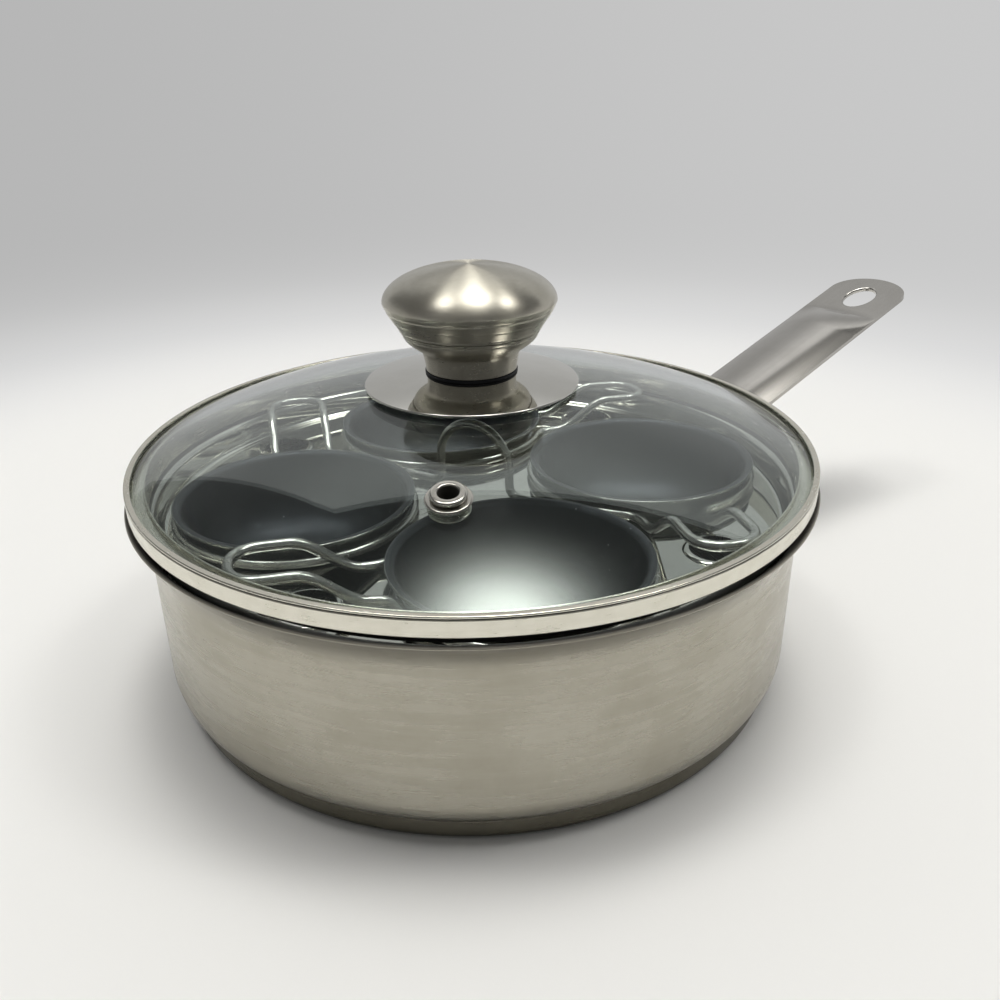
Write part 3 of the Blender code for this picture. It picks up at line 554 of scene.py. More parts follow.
@dataclass(frozen=True)
class PaperFinish:
    """Pale studio paper that fades into a glowing backdrop away from the object; the backdrop's glow is
    painted light, lighter or darker by side, distance and height, and what reflections see towards the camera
    is painted shade.

    Each zone is a pair of distances in metres between which one tone goes over into the next.
    """

    name: str
    turn: float
    colour: Colour = (0.84, 0.84, 0.83)
    paper_zone: Span = (0.26, 0.46)
    low_zone: Span = (0.2, 0.72)
    side_zone: Span = (-0.6, 0.6)
    mid_zone: Span = (0.24, 0.45)
    high_zone: Span = (0.55, 1.1)
    front_reflection_shade_zone: Span = (0.24, 0.38)
    # Painted light: the tones that the backdrop glows with; the front reflection shade is the painted dark
    # that metal and glass reflect towards the camera.
    low: Colour = (0.845, 0.845, 0.84)
    left: Colour = (0.465, 0.465, 0.465)
    right: Colour = (0.585, 0.585, 0.585)
    mid: Colour = (0.51, 0.51, 0.51)
    high: Colour = (1.0, 1.0, 0.995)
    front_reflection_shade: Colour = (0.05, 0.05, 0.05)

    def build(self) -> bpy.types.Material:
        """Make the material.

        Returns:
            The material.
        """
        material, graph = new_graph(self.name)
        place = graph.place()
        x, y, z = graph.parts(place)
        reach = (x * x + y * y) ** 0.5
        fibre = graph.noise(place, 900.0, 3.0, 0.6)
        paper = graph.shader({
            "Base Color": self.colour,
            "Roughness": 0.85,
            "Specular IOR Level": 0.15,
            "Normal": graph.relief(fibre, 0.05 * MM, 0.2),
        })
        # Painted light: the backdrop's glow gets lighter or darker with side, distance and height.
        side = (x * math.cos(self.turn) + y * math.sin(self.turn)).between(*self.side_zone)
        away = reach.between(*self.low_zone)
        tone = graph.blend(away, self.low, graph.blend(side, self.left, self.right))
        tone = graph.blend(z.between(*self.mid_zone), tone, self.mid)
        tone = graph.blend(z.between(*self.high_zone), tone, self.high)
        # Painted shade: rays other than camera rays see the backdrop towards the camera as dark.
        forward = x * math.sin(self.turn) - y * math.cos(self.turn)
        direct = graph.ray("Camera")
        tone = graph.blend(forward.between(*self.front_reflection_shade_zone) * (1 - direct), tone, self.front_reflection_shade)
        glow = graph.signal("ShaderNodeEmission", None, {"Color": tone})
        seen = (direct + graph.ray("Glossy") + graph.ray("Transmission")).between(0.0, 1.0)
        graph.surface(graph.mixed(reach.between(*self.paper_zone) * seen, paper, glow))
        return material


# Painted shade: faces inside the flared rim above 56 mm are painted dark and matte, for the shade under the
# lid's band.
WALL_STEEL = SteelFinish(
    "brushed_steel", colour=(0.455, 0.433, 0.37), tarnish=(0.385, 0.361, 0.297), roughness=0.28,
    spread=0.08, lay=Lay.ROUND, line_pitch=0.35 * MM, line_depth=0.0012 * MM, line_share=0.35,
    patch=24 * MM, across=0.5, sweep=4.0, painted_shade_colour=(0.08, 0.074, 0.062), painted_shade_inside_above=56.0 * MM,
)
# Painted shade: the same brushed steel as the wall, with its colour made much darker for the shaded floor
# right under the pan that the cap reflects.
BASE_STEEL_PAINTED_SHADE = SteelFinish(
    "brushed_steel", colour=(0.20, 0.187, 0.15), tarnish=(0.155, 0.145, 0.112), roughness=0.26,
    spread=0.08, lay=Lay.ROUND, line_pitch=0.35 * MM, line_depth=0.001 * MM, line_share=0.35,
    patch=20 * MM, across=0.4, sweep=4.0,
)
HANDLE_STEEL = SteelFinish(
    "pressed_steel", colour=(0.49, 0.475, 0.445), tarnish=(0.425, 0.41, 0.38), roughness=0.13,
    spread=0.03, lay=Lay.ALONG, line_pitch=0.30 * MM, line_depth=0.0004 * MM,
    patch=16 * MM, rise=math.radians(17.0),
)
BAND_STEEL = SteelFinish(
    "band_steel", colour=(0.77, 0.745, 0.655), tarnish=(0.70, 0.675, 0.58), roughness=0.24, spread=0.08,
    lay=Lay.ROUND, line_pitch=0.30 * MM, line_depth=0.001 * MM, line_share=0.4, patch=7 * MM,
    across=0.35, sweep=12.0,
    # Painted shade: the band's underside and inner skirt, and the groove under its bead, are painted dark and
    # matte.
    painted_shade_rings=(
        PaintedShadeRing(99.4 * MM, 104.9 * MM, 60.0 * MM, 67.4 * MM),
        PaintedShadeRing(104.9 * MM, 107.0 * MM, 71.95 * MM, 72.32 * MM, 0.08 * MM),
    ),
)
VENT_STEEL = SteelFinish(
    "band_steel", colour=(0.60, 0.585, 0.54), tarnish=(0.50, 0.485, 0.44), roughness=0.20, spread=0.06,
    line_pitch=0.9 * MM, line_depth=0.0004 * MM, line_share=0.4, patch=4 * MM,
    # Painted shade: the eyelet's bore is painted dark and matte.
    painted_shade_rings=(PaintedShadeRing(0.0, 2.9 * MM, -9.0 * MM, 2.4 * MM),),
)
# Painted shade: the insert plate's lip under the lid's band is painted dark and matte.
MIRROR_STEEL = SteelFinish(
    "polished_steel", colour=(0.66, 0.65, 0.61), tarnish=(0.61, 0.60, 0.555), roughness=0.05,
    spread=0.03, line_pitch=3.0 * MM, line_depth=0.0006 * MM, line_share=0.3,
    patch=14 * MM, painted_shade_rings=(PaintedShadeRing(98.5 * MM, 103.0 * MM, 58.0 * MM, 62.0 * MM),),
)
KNOB_STEEL = SteelFinish(
    "knob_steel", colour=(0.58, 0.555, 0.48), tarnish=(0.51, 0.485, 0.41), roughness=0.33, spread=0.06,
    lay=Lay.ROUND, line_pitch=0.24 * MM, line_depth=0.0008 * MM, patch=8 * MM,
    across=0.9, sweep=5.0, polish_below=115.0 * MM, polish=0.30,
)
WIRE_STEEL = SteelFinish(
    "wire_steel", colour=(0.54, 0.535, 0.505), tarnish=(0.45, 0.445, 0.415), roughness=0.24,
    spread=0.06, line_pitch=0.8 * MM, line_depth=0.0006 * MM, line_share=0.4,
    patch=6 * MM,
)
ALUMINIUM = SteelFinish(
    "aluminium", colour=(0.74, 0.74, 0.75), tarnish=(0.64, 0.64, 0.65), roughness=0.42, spread=0.12,
    lay=Lay.ROUND, line_pitch=0.4 * MM, line_depth=0.005 * MM, patch=12 * MM,
    across=0.4,
)
NON_STICK = CoatedFinish(
    "non_stick_coating", colour=(0.009, 0.010, 0.011), rubbed=(0.015, 0.016, 0.017), roughness=0.45,
    outer=(0.26, 0.26, 0.24), outer_roughness=0.18, outer_metal=0.85,
)
RUBBER = CoatedFinish(
    "black_rubber", colour=(0.013, 0.013, 0.013), rubbed=(0.03, 0.03, 0.03), roughness=0.55,
    depth=0.02 * MM,
)
CLEAR_GLASS = GlassFinish("tempered_glass")

Finish = SteelFinish | CoatedFinish | GlassFinish


# Mesh tools

SHARP = 38.0


def arc(centre: Point, radius: float, start: float, end: float, steps: int) -> Line:
    """Return points on an arc, both ends included.

    Args:
        centre: The arc's centre.
        radius: Its radius.
        start: The angle of its first point.
        end: The angle of its last point.
        steps: How many facets it has.

    Returns:
        The arc's points.
    """
    turn = (end - start) / steps
    return [
        (centre[0] + radius * math.cos(start + turn * i), centre[1] + radius * math.sin(start + turn * i))
        for i in range(steps + 1)
    ]


def corner_arc(here: Vector, back: Vector, onward: Vector, reach: float, steps: int) -> Line:
    """Round one corner of a line.

    Args:
        here: The corner.
        back: The direction to the point before it.
        onward: The direction to the point after it.
        reach: How far the rounding reaches along each side.
        steps: How many facets it has.

    Returns:
        The points of the rounding, both ends included.
    """
    half = back.angle(onward) / 2
    radius = reach * math.tan(half)
    centre = here + (back + onward).normalized() * radius / math.sin(half)
    first, last = here + back * reach - centre, here + onward * reach - centre
    start = math.atan2(first.y, first.x)
    return arc(centre[:], radius, start, start + math.atan2(first.cross(last), first.dot(last)), steps)


def rounded(corners: list[tuple[float, float, float]], steps: int = 8) -> Line:
    """Round the inner corners of an open line.

    Args:
        corners: Each corner's two coordinates and its fillet radius.
        steps: How many facets each fillet has.

    Returns:
        The line with its fillets.
    """
    points: Line = []
    for i, (r, z, fillet) in enumerate(corners):
        here = Vector((r, z))
        if fillet == 0 or i in (0, len(corners) - 1):
            points.append((r, z))
            continue
        back = (Vector(corners[i - 1][:2]) - here).normalized()
        onward = (Vector(corners[i + 1][:2]) - here).normalized()
        points += corner_arc(here, back, onward, fillet / math.tan(back.angle(onward) / 2), steps)
    return points


def shifted(path: Line, distance: float) -> Line:
    """Shift an open line to its left.

    Args:
        path: The open line.
        distance: How far it moves.

    Returns:
        The moved line.
    """
    moved: Line = []
    for i, point in enumerate(path):
        here = Vector(point)
        before = (here - Vector(path[i - 1])).normalized() if i > 0 else None
        after = (Vector(path[i + 1]) - here).normalized() if i < len(path) - 1 else None
        before, after = before or after, after or before
        middle = (before + after).normalized()
        normal = Vector((-middle.y, middle.x))
        moved.append(tuple(here + normal * distance / max(middle.dot(after), 0.2)))
    return moved


def sheet(path: Line, thickness: float) -> Line:
    """Return the closed outline of a sheet that lies to the left of its outer line.

    Args:
        path: The sheet's outer line.
        thickness: The sheet's thickness.

    Returns:
        The closed outline.
    """
    inner = shifted(path, thickness)
    if path[0][0] == 0:
        inner[0] = (0, inner[0][1])
    return path + inner[::-1]


def eased(outline: Line, radius: float, steps: int = 4, turn: float = 35.0) -> Line:
    """Round each sharp corner of a closed outline.

    Args:
        outline: The closed outline.
        radius: The fillet's radius, which a short side makes smaller.
        steps: How many facets each fillet has.
        turn: The smallest turn in degrees that counts as a corner.

    Returns:
        The outline with its corners rounded.
    """
    points: Line = []
    count = len(outline)
    for i, point in enumerate(outline):
        here = Vector(point)
        back = Vector(outline[i - 1]) - here
        onward = Vector(outline[(i + 1) % count]) - here
        angle = back.angle(onward, math.pi)
        if abs(point[0]) < 1e-9 or math.pi - angle < math.radians(turn):
            points.append(tuple(point))
            continue
        reach = min(radius / math.tan(angle / 2), 0.48 * back.length, 0.48 * onward.length)
        points += corner_arc(here, back.normalized(), onward.normalized(), reach, steps)
    return points


def ring(inner: float, outer: float, bottom: float, top: float) -> Line:
    """Return the outline of a plain ring or, with inner zero, of a disc."""
    return [(outer, top), (outer, bottom), (inner, bottom), (inner, top)]


def shade(mesh: bpy.types.Mesh, sharp: float) -> None:
    """Shade a mesh smooth, with edges crisp that turn further than an angle in degrees."""
    mesh.shade_smooth()
    mesh.set_sharp_from_angle(angle=math.radians(sharp))


def mesh_piece(
    name: str, points: list[Vector], faces: list[list[int]], sharp: float = SHARP
) -> bpy.types.Object:
    """Make an object from points and faces.

    Args:
        name: The piece's name.
        points: The mesh's points.
        faces: The mesh's faces.
        sharp: Edges that turn further than this, in degrees, stay crisp.

    Returns:
        The object, in the scene.
    """
    mesh = bpy.data.meshes.new(name)
    mesh.from_pydata([tuple(point) for point in points], [], faces)
    tidy = bmesh.new()
    tidy.from_mesh(mesh)
    bmesh.ops.recalc_face_normals(tidy, faces=tidy.faces)
    tidy.to_mesh(mesh)
    tidy.free()
    shade(mesh, sharp)
    piece = bpy.data.objects.new(name, mesh)
    bpy.context.scene.collection.objects.link(piece)
    return piece


def turned(name: str, outline: Line, segments: int = 192, sharp: float = SHARP) -> bpy.types.Object:
    """Spin a closed (r, z) outline about Z.

    Args:
        name: The piece's name.
        outline: The closed outline.
        segments: How many steps go round.
        sharp: Edges that turn further than this, in degrees, stay crisp.

    Returns:
        The turned object.
    """
    clean = [p for i, p in enumerate(outline) if (Vector(p) - Vector(outline[i - 1])).length > 1e-7]
    points: list[Vector] = []
    rows: list[list[int]] = []
    for r, z in clean:
        if r < 1e-9:
            rows.append([len(points)])
            points.append(Vector((0, 0, z)))
            continue
        rows.append(list(range(len(points), len(points) + segments)))
        for j in range(segments):
            angle = math.tau * j / segments
            points.append(Vector((r * math.cos(angle), r * math.sin(angle), z)))
    faces: list[list[int]] = []
    for i, row in enumerate(rows):
        other = rows[(i + 1) % len(rows)]
        for j in range(segments):
            k = (j + 1) % segments
            if len(row) == 1 and len(other) == 1:
                break
            if len(row) == 1:
                faces.append([row[0], other[j], other[k]])
            elif len(other) == 1:
                faces.append([row[j], other[0], row[k]])
            else:
                faces.append([row[j], other[j], other[k], row[k]])
    return mesh_piece(name, points, faces, sharp)


def lofted(name: str, rows: list[list[Vector]]) -> bpy.types.Object:
    """Join closed rows of points, all of one length, into a solid with flat ends.

    Args:
        name: The piece's name.
        rows: The rows of points.

    Returns:
        The solid.
    """
    count = len(rows[0])
    last = count * (len(rows) - 1)
    faces = [list(range(count)), list(range(last, last + count))]
    for start in range(0, last, count):
        for i in range(count):
            j = (i + 1) % count
            faces.append([start + i, start + j, start + count + j, start + count + i])
    return mesh_piece(name, [point for row in rows for point in row], faces)


def levelled(piece: bpy.types.Object) -> bpy.types.Object:
    """Keep the large faces of a piece flat up to its fillets and return it.

    Args:
        piece: The piece.

    Returns:
        The same piece.
    """
    modifier = piece.modifiers.new("level_normals", "WEIGHTED_NORMAL")
    modifier.keep_sharp = True
    modifier.weight = 90
    return piece


def apply_all(piece: bpy.types.Object) -> None:
    """Turn a piece's modifiers into plain mesh.

    Args:
        piece: The piece, whose mesh is replaced.
    """
    graph = bpy.context.evaluated_depsgraph_get()
    mesh = bpy.data.meshes.new_from_object(piece.evaluated_get(graph), depsgraph=graph)
    piece.modifiers.clear()
    piece.data = mesh


def cut(piece: bpy.types.Object, tools: list[bpy.types.Object], operation: str = "DIFFERENCE") -> None:
    """Cut shapes out of a piece or join them to it.

    Args:
        piece: The piece, whose mesh is replaced.
        tools: The shapes, which are used up.
        operation: What is done with them.
    """
    for tool in tools:
        modifier = piece.modifiers.new(tool.name, "BOOLEAN")
        modifier.operation = operation
        modifier.solver = "EXACT"
        modifier.object = tool
    apply_all(piece)
    for tool in tools:
        bpy.data.objects.remove(tool)


def soften(piece: bpy.types.Object, width: float, segments: int = 3, angle: float = 50.0) -> None:
    """Round the sharp edges of a piece.

    Args:
        piece: The piece, whose mesh is replaced.
        width: How far the rounding reaches from an edge.
        segments: How many facets it has.
        angle: The smallest turn in degrees that counts as an edge.
    """
    modifier = piece.modifiers.new("soften", "BEVEL")
    modifier.width = width
    modifier.segments = segments
    modifier.limit_method = "ANGLE"
    modifier.angle_limit = math.radians(angle)
    modifier.use_clamp_overlap = True
    apply_all(piece)
    shade(piece.data, 50.0)


def distances(points: list[Vector]) -> list[float]:
    """Return how far along a line each of its points stands.

    Args:
        points: The line.

    Returns:
        One distance for each point.
    """
    lengths = [0.0]
    for near, far in zip(points, points[1:]):
        lengths.append(lengths[-1] + (far - near).length)
    return lengths


def wire(name: str, points: list[Vector], radius: float, closed: bool) -> bpy.types.Object:
    """Run a round wire along a line of points.

    Args:
        name: The piece's name.
        points: The wire's middle line.
        radius: The wire's radius.
        closed: Whether the line meets itself; an open wire gets rounded ends.

    Returns:
        The wire.
    """
    curve = bpy.data.curves.new(name, "CURVE")
    curve.dimensions = "3D"
    curve.bevel_depth = radius
    curve.bevel_resolution = 5
    curve.use_fill_caps = True
    spline = curve.splines.new("POLY")
    spline.points.add(len(points) - 1)
    places = distances(points)
    for knot, point, place in zip(spline.points, points, places):
        knot.co = (*point, 1.0)
        to_end = min(place, places[-1] - place)
        if not closed and to_end < radius:
            knot.radius = max(math.sqrt(max(1 - (1 - to_end / radius) ** 2, 0.0)), 0.25)
    spline.use_cyclic_u = closed
    spline.use_smooth = True
    piece = bpy.data.objects.new(name, curve)
    bpy.context.scene.collection.objects.link(piece)
    return piece


def spaced(points: list[Vector], step: float, closed: bool) -> list[Vector]:
    """Read a line again at even steps, eased by a short running mean.

    Args:
        points: The line.
        step: The wanted distance between points.
        closed: Whether the line meets itself.

    Returns:
        The evenly spaced line.
    """
    chain = points + [points[0]] if closed else points
    lengths = distances(chain)
    count = max(int(lengths[-1] / step), 8)
    even: list[Vector] = []
    j = 0
    for i in range(count if closed else count + 1):
        want = lengths[-1] * i / count
        while j < len(chain) - 2 and lengths[j + 1] < want:
            j += 1
        share = (want - lengths[j]) / max(lengths[j + 1] - lengths[j], 1e-9)
        even.append(chain[j].lerp(chain[j + 1], min(share, 1.0)))
    for _ in range(2):
        last = list(even)
        for i in range(len(even)):
            if not closed and i in (0, len(even) - 1):
                continue
            even[i] = (last[i - 1] + last[i] * 2 + last[(i + 1) % len(last)]) / 4
    return even


def smooth_step(share: float) -> float:
    """Ease from 0 to 1 with level ends."""
    share = min(max(share, 0.0), 1.0)
    return share * share * (3 - 2 * share)


class Finishes:
    """The finishes of the whole object, each made once."""

    def __init__(self) -> None:
        """Start with none made."""
        self._made: dict[Finish, bpy.types.Material] = {}

    def _paint(self, piece: bpy.types.Object, finish: Finish) -> None:
        """Leave a piece with one finish only.

        Args:
            piece: The piece.
            finish: Its finish.
        """
        if finish not in self._made:
            self._made[finish] = finish.build()
        piece.data.materials.clear()
        piece.data.materials.append(self._made[finish])

    def dress(self, piece: bpy.types.Object, finish: Finish, body: str, *nodes: str) -> bpy.types.Object:
        """Give a piece its finish, its body and the nodes that it stands for.

        Args:
            piece: The piece.
            finish: Its finish, whose slot names the piece's material.
            body: The body that it moves with.
            nodes: The CAD nodes that it stands for.

        Returns:
            The same piece.
        """
        self._paint(piece, finish)
        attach(piece, body)
        if nodes:
            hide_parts(*nodes)
        LOG.info("%s rides on %s and stands for %s", piece.name, body, ", ".join(nodes) or "nothing")
        return piece

    def repaint(self, node: str, finish: Finish) -> None:
        """Give a node that stays as it is a better finish.

        Args:
            node: The CAD node's name.
            finish: Its finish.
        """
        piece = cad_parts[node]
        self._paint(piece, finish)
        LOG.info("%s stays, in %s", node, finish.slot)


# The object's sub-assemblies

# Shared by the plate and the cups that hang in it
CUPS = 4
CUP_PITCH = 56.640 * MM
PLATE_TOP = 52.725 * MM
INSERT_TURN = math.radians(-25.0)


@dataclass
class Pan:
    """The spun pan with its flared rim, and the cap and core of its base."""

    wall_radius: float = 101.0 * MM
    sheet_thickness: float = 1.0 * MM
    corner: float = 9.0 * MM
    flare_start: float = 52.0 * MM
    flare_reach: float = 5.6 * MM
    flare_height: float = 12.9 * MM
    base_radius: float = 97.5 * MM
    base_top: float = 6.3 * MM
    base_joint: float = 0.06 * MM
    base_sheet: float = 0.8 * MM
    base_corner: float = 2.2 * MM

    def body_outline(self) -> Line:
        """Return the pan's outline with its rim rounded over.

        Returns:
            The closed outline, as radii and heights.
        """
        angle = 2 * math.atan(self.flare_reach / self.flare_height)
        radius = self.flare_height / math.sin(angle)
        flare = arc((self.wall_radius + radius, self.flare_start), radius, math.pi, math.pi - angle, 20)
        low = self.base_top + self.base_joint
        foot = -math.acos((self.base_radius - self.wall_radius + self.corner) / self.corner)
        centre = (self.wall_radius - self.corner, low - self.corner * math.sin(foot))
        lower = [(0, low), (self.base_radius, low), *arc(centre, self.corner, foot, 0, 14)]
        return eased(sheet(lower + flare, self.sheet_thickness), 0.42 * MM)

    def cap_outline(self) -> Line:
        """Return the outline of the cap that closes the base.

        Returns:
            The closed outline, as radii and heights.
        """
        path = rounded([
            (0, 0, 0),
            (self.base_radius, 0, self.base_corner),
            (self.base_radius, self.base_top, 0),
        ], 8)
        return eased(sheet(path, self.base_sheet), 0.3 * MM)

    def build(self, finishes: Finishes) -> None:
        """Build and dress the pan.

        Args:
            finishes: The object's finishes.
        """
        body = levelled(turned("pan_body_fine", self.body_outline(), 288))
        finishes.dress(body, WALL_STEEL, "pan", "pan_body")
        cap = levelled(turned("base_cap_fine", self.cap_outline(), 256))
        finishes.dress(cap, BASE_STEEL_PAINTED_SHADE, "pan", "base_cap")
        finishes.repaint("base_core", ALUMINIUM)


@dataclass
class Handle:
    """The pressed handle strip and the saddle that carries it."""

    rise: float = math.radians(17.0)
    root: Point = (101.0 * MM, 48.7 * MM)
    length: float = 135.16 * MM
    width: float = 33.7 * MM
    thickness: float = 1.5 * MM
    arch: float = 3.3 * MM
    tab: float = 31.16 * MM
    ramp: float = 17.0 * MM
    hole_round: float = 0.6 * MM
    tip_round: float = 12.5 * MM
    hole_to_tip: float = 16.86 * MM
    hole_length: float = 16.7 * MM
    hole_width: float = 12.1 * MM
    saddle_inner: float = 101.4 * MM
    saddle_sheet: float = 1.5 * MM
    saddle_span: float = math.radians(21.0)
    saddle_low: float = 36.0 * MM
    saddle_high: float = 54.0 * MM
    notch_depth: float = 2.6 * MM
    notch_from: float = 0.86
    tongue: tuple[float, float, float] = (36.0 * MM, 9.0 * MM, 1.5 * MM)
    tongue_round: float = 4.0 * MM
    into_wall: float = 5.0 * MM
    tool_reach: float = 9.0 * MM
    gap: float = 0.3 * MM

    def _pose(self) -> Matrix:
        """Return the strip's place and tilt."""
        return Matrix.Translation((self.root[0], 0, self.root[1])) @ Matrix.Rotation(-self.rise, 4, "Y")

    def _half_width(self, place: float) -> float:
        """Return half the strip's width at a distance from its root."""
        into = max(place - self.length + self.tip_round, 0) / self.tip_round
        return self.width / 2 * math.sqrt(max(1 - into**2, 0))

    def _lift(self, place: float, share: float) -> float:
        """Return how high the arch stands.

        Args:
            place: The distance from the strip's root.
            share: The place across, from -1 to 1.

        Returns:
            The height over the flat tab.
        """
        into = (place - self.length + self.tab + self.ramp) / self.ramp
        ease = 1 - min(max(into, 0.0), 1.0) ** 2.0
        return self.arch * ease * (1 - share**2)

    def _stations(self) -> list[float]:
        """Return the distances from the root at which the strip's section is drawn.

        Returns:
            The distances, from the wall to the tip.
        """
        start = self.length - self.tab - self.ramp
        tip = self.length - self.tip_round
        stations: list[float] = []
        for low, high, steps in (
            (-self.into_wall, start, 14),
            (start, start + self.ramp, 20),
            (start + self.ramp, tip, 6),
        ):
            stations += [low + (high - low) * i / steps for i in range(steps)]
        stations += [tip + self.tip_round * math.sin(QUARTER * i / 28) for i in range(28)]
        return stations + [self.length - 0.002 * MM]

    def shell(self) -> bpy.types.Object:
        """Build the arched strip with its hanging hole.

        Returns:
            The strip.
        """
        across = 64
        shares = [2 * i / across - 1 for i in range(across + 1)]
        sides = [(share, 0.0) for share in shares] + [(share, self.thickness) for share in shares[::-1]]
        rows = [
            [
                Vector((place, share * self._half_width(place), self._lift(place, share) - drop))
                for share, drop in sides
            ]
            for place in self._stations()
        ]
        strip = lofted("handle_shell_fine", rows)
        radius, ease, high = self.hole_width / 2, self.hole_round, self.tool_reach
        rim = arc((radius + ease, 0.005 * MM - ease), ease, math.pi, QUARTER, 8)
        hole = turned("hang_hole_tool", [
            (0, high), (0, -high), (radius, -high), *rim, (radius + ease, high),
        ], 128)
        hole.data.transform(Matrix.Diagonal((self.hole_length / self.hole_width, 1, 1, 1)))
        hole.data.transform(Matrix.Translation((self.length - self.hole_to_tip, 0, 0)))
        reach = self.saddle_inner + self.saddle_sheet + self.gap
        wall = turned("root_tool", ring(0, reach, 0.02, 0.08), 256)
        wall.data.transform(self._pose().inverted())
        cut(strip, [hole, wall])
        soften(strip, 0.34 * MM, 3)
        strip.data.transform(self._pose())
        return strip

    def bracket(self) -> bpy.types.Object:
        """Build the saddle with its tongue.

        Returns:
            The saddle.
        """
        steps = 24
        inner, outer = self.saddle_inner, self.saddle_inner + self.saddle_sheet
        rows: list[list[Vector]] = []
        for i in range(steps + 1):
            angle = self.saddle_span * (i / steps - 0.5)
            across = abs(2 * i / steps - 1)
            notch = self.notch_depth * max(across - self.notch_from, 0) ** 2 / (1 - self.notch_from) ** 2
            section = ring(inner, outer, self.saddle_low + notch, self.saddle_high - notch)
            rows.append([Vector((r * math.cos(angle), r * math.sin(angle), z)) for r, z in section])
        saddle = lofted("handle_bracket_fine", rows)
        length, width, thickness = self.tongue
        top = self.arch * 0.9 - self.thickness - self.gap
        start = self.saddle_inner - self.root[0] + self.saddle_sheet / 2
        nose = rounded([
            (start, -width / 2, 0),
            (start + length, -width / 2, self.tongue_round),
            (start + length, width / 2, self.tongue_round),
            (start, width / 2, 0),
        ], 8)
        rows = [[Vector((x, y, top - drop)) for x, y in nose] for drop in (0.0, thickness)]
        tongue = lofted("tongue_tool", rows)
        tongue.data.transform(self._pose())
        cut(saddle, [tongue], "UNION")
        soften(saddle, 0.3 * MM, 2)
        return saddle

    def build(self, finishes: Finishes) -> None:
        """Build and dress the handle."""
        finishes.dress(levelled(self.shell()), HANDLE_STEEL, "pan", "handle_shell")
        finishes.dress(levelled(self.bracket()), HANDLE_STEEL, "pan", "handle_bracket")


@dataclass
class Lid:
    """The glass dome and its rolled steel band."""

    edge_radius: float = 104.4 * MM
    ball: float = 265.358 * MM
    inner_ball: float = 261.358 * MM
    centre_z: float = -172.357 * MM
    hole: float = 4.5 * MM
    band_radius: float = 105.47 * MM
    band_bottom: float = 67.0 * MM
    band_top: float = 72.95 * MM
    lip_radius: float = 103.7 * MM
    flange_radius: float = 98.6 * MM
    skirt_bottom: float = 62.4 * MM
    band_sheet: float = 0.6 * MM
    band_corner: float = 0.7 * MM
    bead: float = 0.62 * MM
    groove: float = 0.3 * MM

    def glass_top(self, radius: float) -> float:
        """Return the height of the glass's upper face."""
        return self.centre_z + math.sqrt(self.ball**2 - radius**2)

    def glass_outline(self) -> Line:
        """Return the dome's outline with its edges ground round.

        Returns:
            The closed outline, as radii and heights.
        """
        centre = (0, self.centre_z)

        def face(ball: float, first: float, last: float) -> Line:
            """Return one face of the dome between two radii."""
            return arc(centre, ball, QUARTER - math.asin(first / ball), QUARTER - math.asin(last / ball), 56)

        upper = face(self.ball, self.hole, self.edge_radius)
        lower = face(self.inner_ball, self.edge_radius, self.hole)
        return eased(upper + lower, 0.9 * MM, 6)

    def band_outline(self) -> Line:
        """Return the channel's outline with its inner skirt, its bead and the groove under the bead.

        Returns:
            The closed outline, as radii and heights.
        """
        inside, rim, top, bottom = self.flange_radius, self.band_radius, self.band_top, self.band_bottom
        sheet_thickness = self.band_sheet
        seat = inside + sheet_thickness
        skirt = inside + 2 * sheet_thickness + 0.1 * MM
        hem = self.centre_z + math.sqrt(self.inner_ball**2 - seat**2) - 0.3 * MM
        notch = top - self.bead
        outer = rounded([
            (inside, hem, 0),
            (inside, self.skirt_bottom, 0.35 * MM),
            (skirt, self.skirt_bottom, 0.35 * MM),
            (skirt, bottom, 0.4 * MM),
            (rim, bottom, self.band_corner),
            (rim, notch - 0.45 * MM, 0.2 * MM),
            (rim - self.groove, notch - 0.3 * MM, 0.08 * MM),
            (rim - self.groove, notch - 0.02 * MM, 0.08 * MM),
            (rim, notch + 0.1 * MM, 0.08 * MM),
            (rim, top, 0.36 * MM),
            (self.lip_radius, top, 0),
        ], 6)
        lining = [
            (seat, hem),
            (seat, bottom + sheet_thickness),
            (rim - sheet_thickness, bottom + sheet_thickness),
            (rim - sheet_thickness, top - sheet_thickness),
            (self.lip_radius, top - sheet_thickness),
        ]
        return eased(outer + lining[::-1], 0.22 * MM, 3, 50.0)

    def build(self, finishes: Finishes, vent: "Vent") -> None:
        """Build and dress the glass and its band.

        Args:
            finishes: The object's finishes.
            vent: The steam vent, which cuts its hole in the glass.
        """
        glass = turned("lid_glass_fine", self.glass_outline(), 224)
        cut(glass, [vent.hole_tool(self)])
        shade(glass.data, SHARP)
        finishes.dress(glass, CLEAR_GLASS, "lid", "lid_glass")
        band = levelled(turned("lid_band_fine", self.band_outline(), 320))
        finishes.dress(band, BAND_STEEL, "lid", "lid_band")


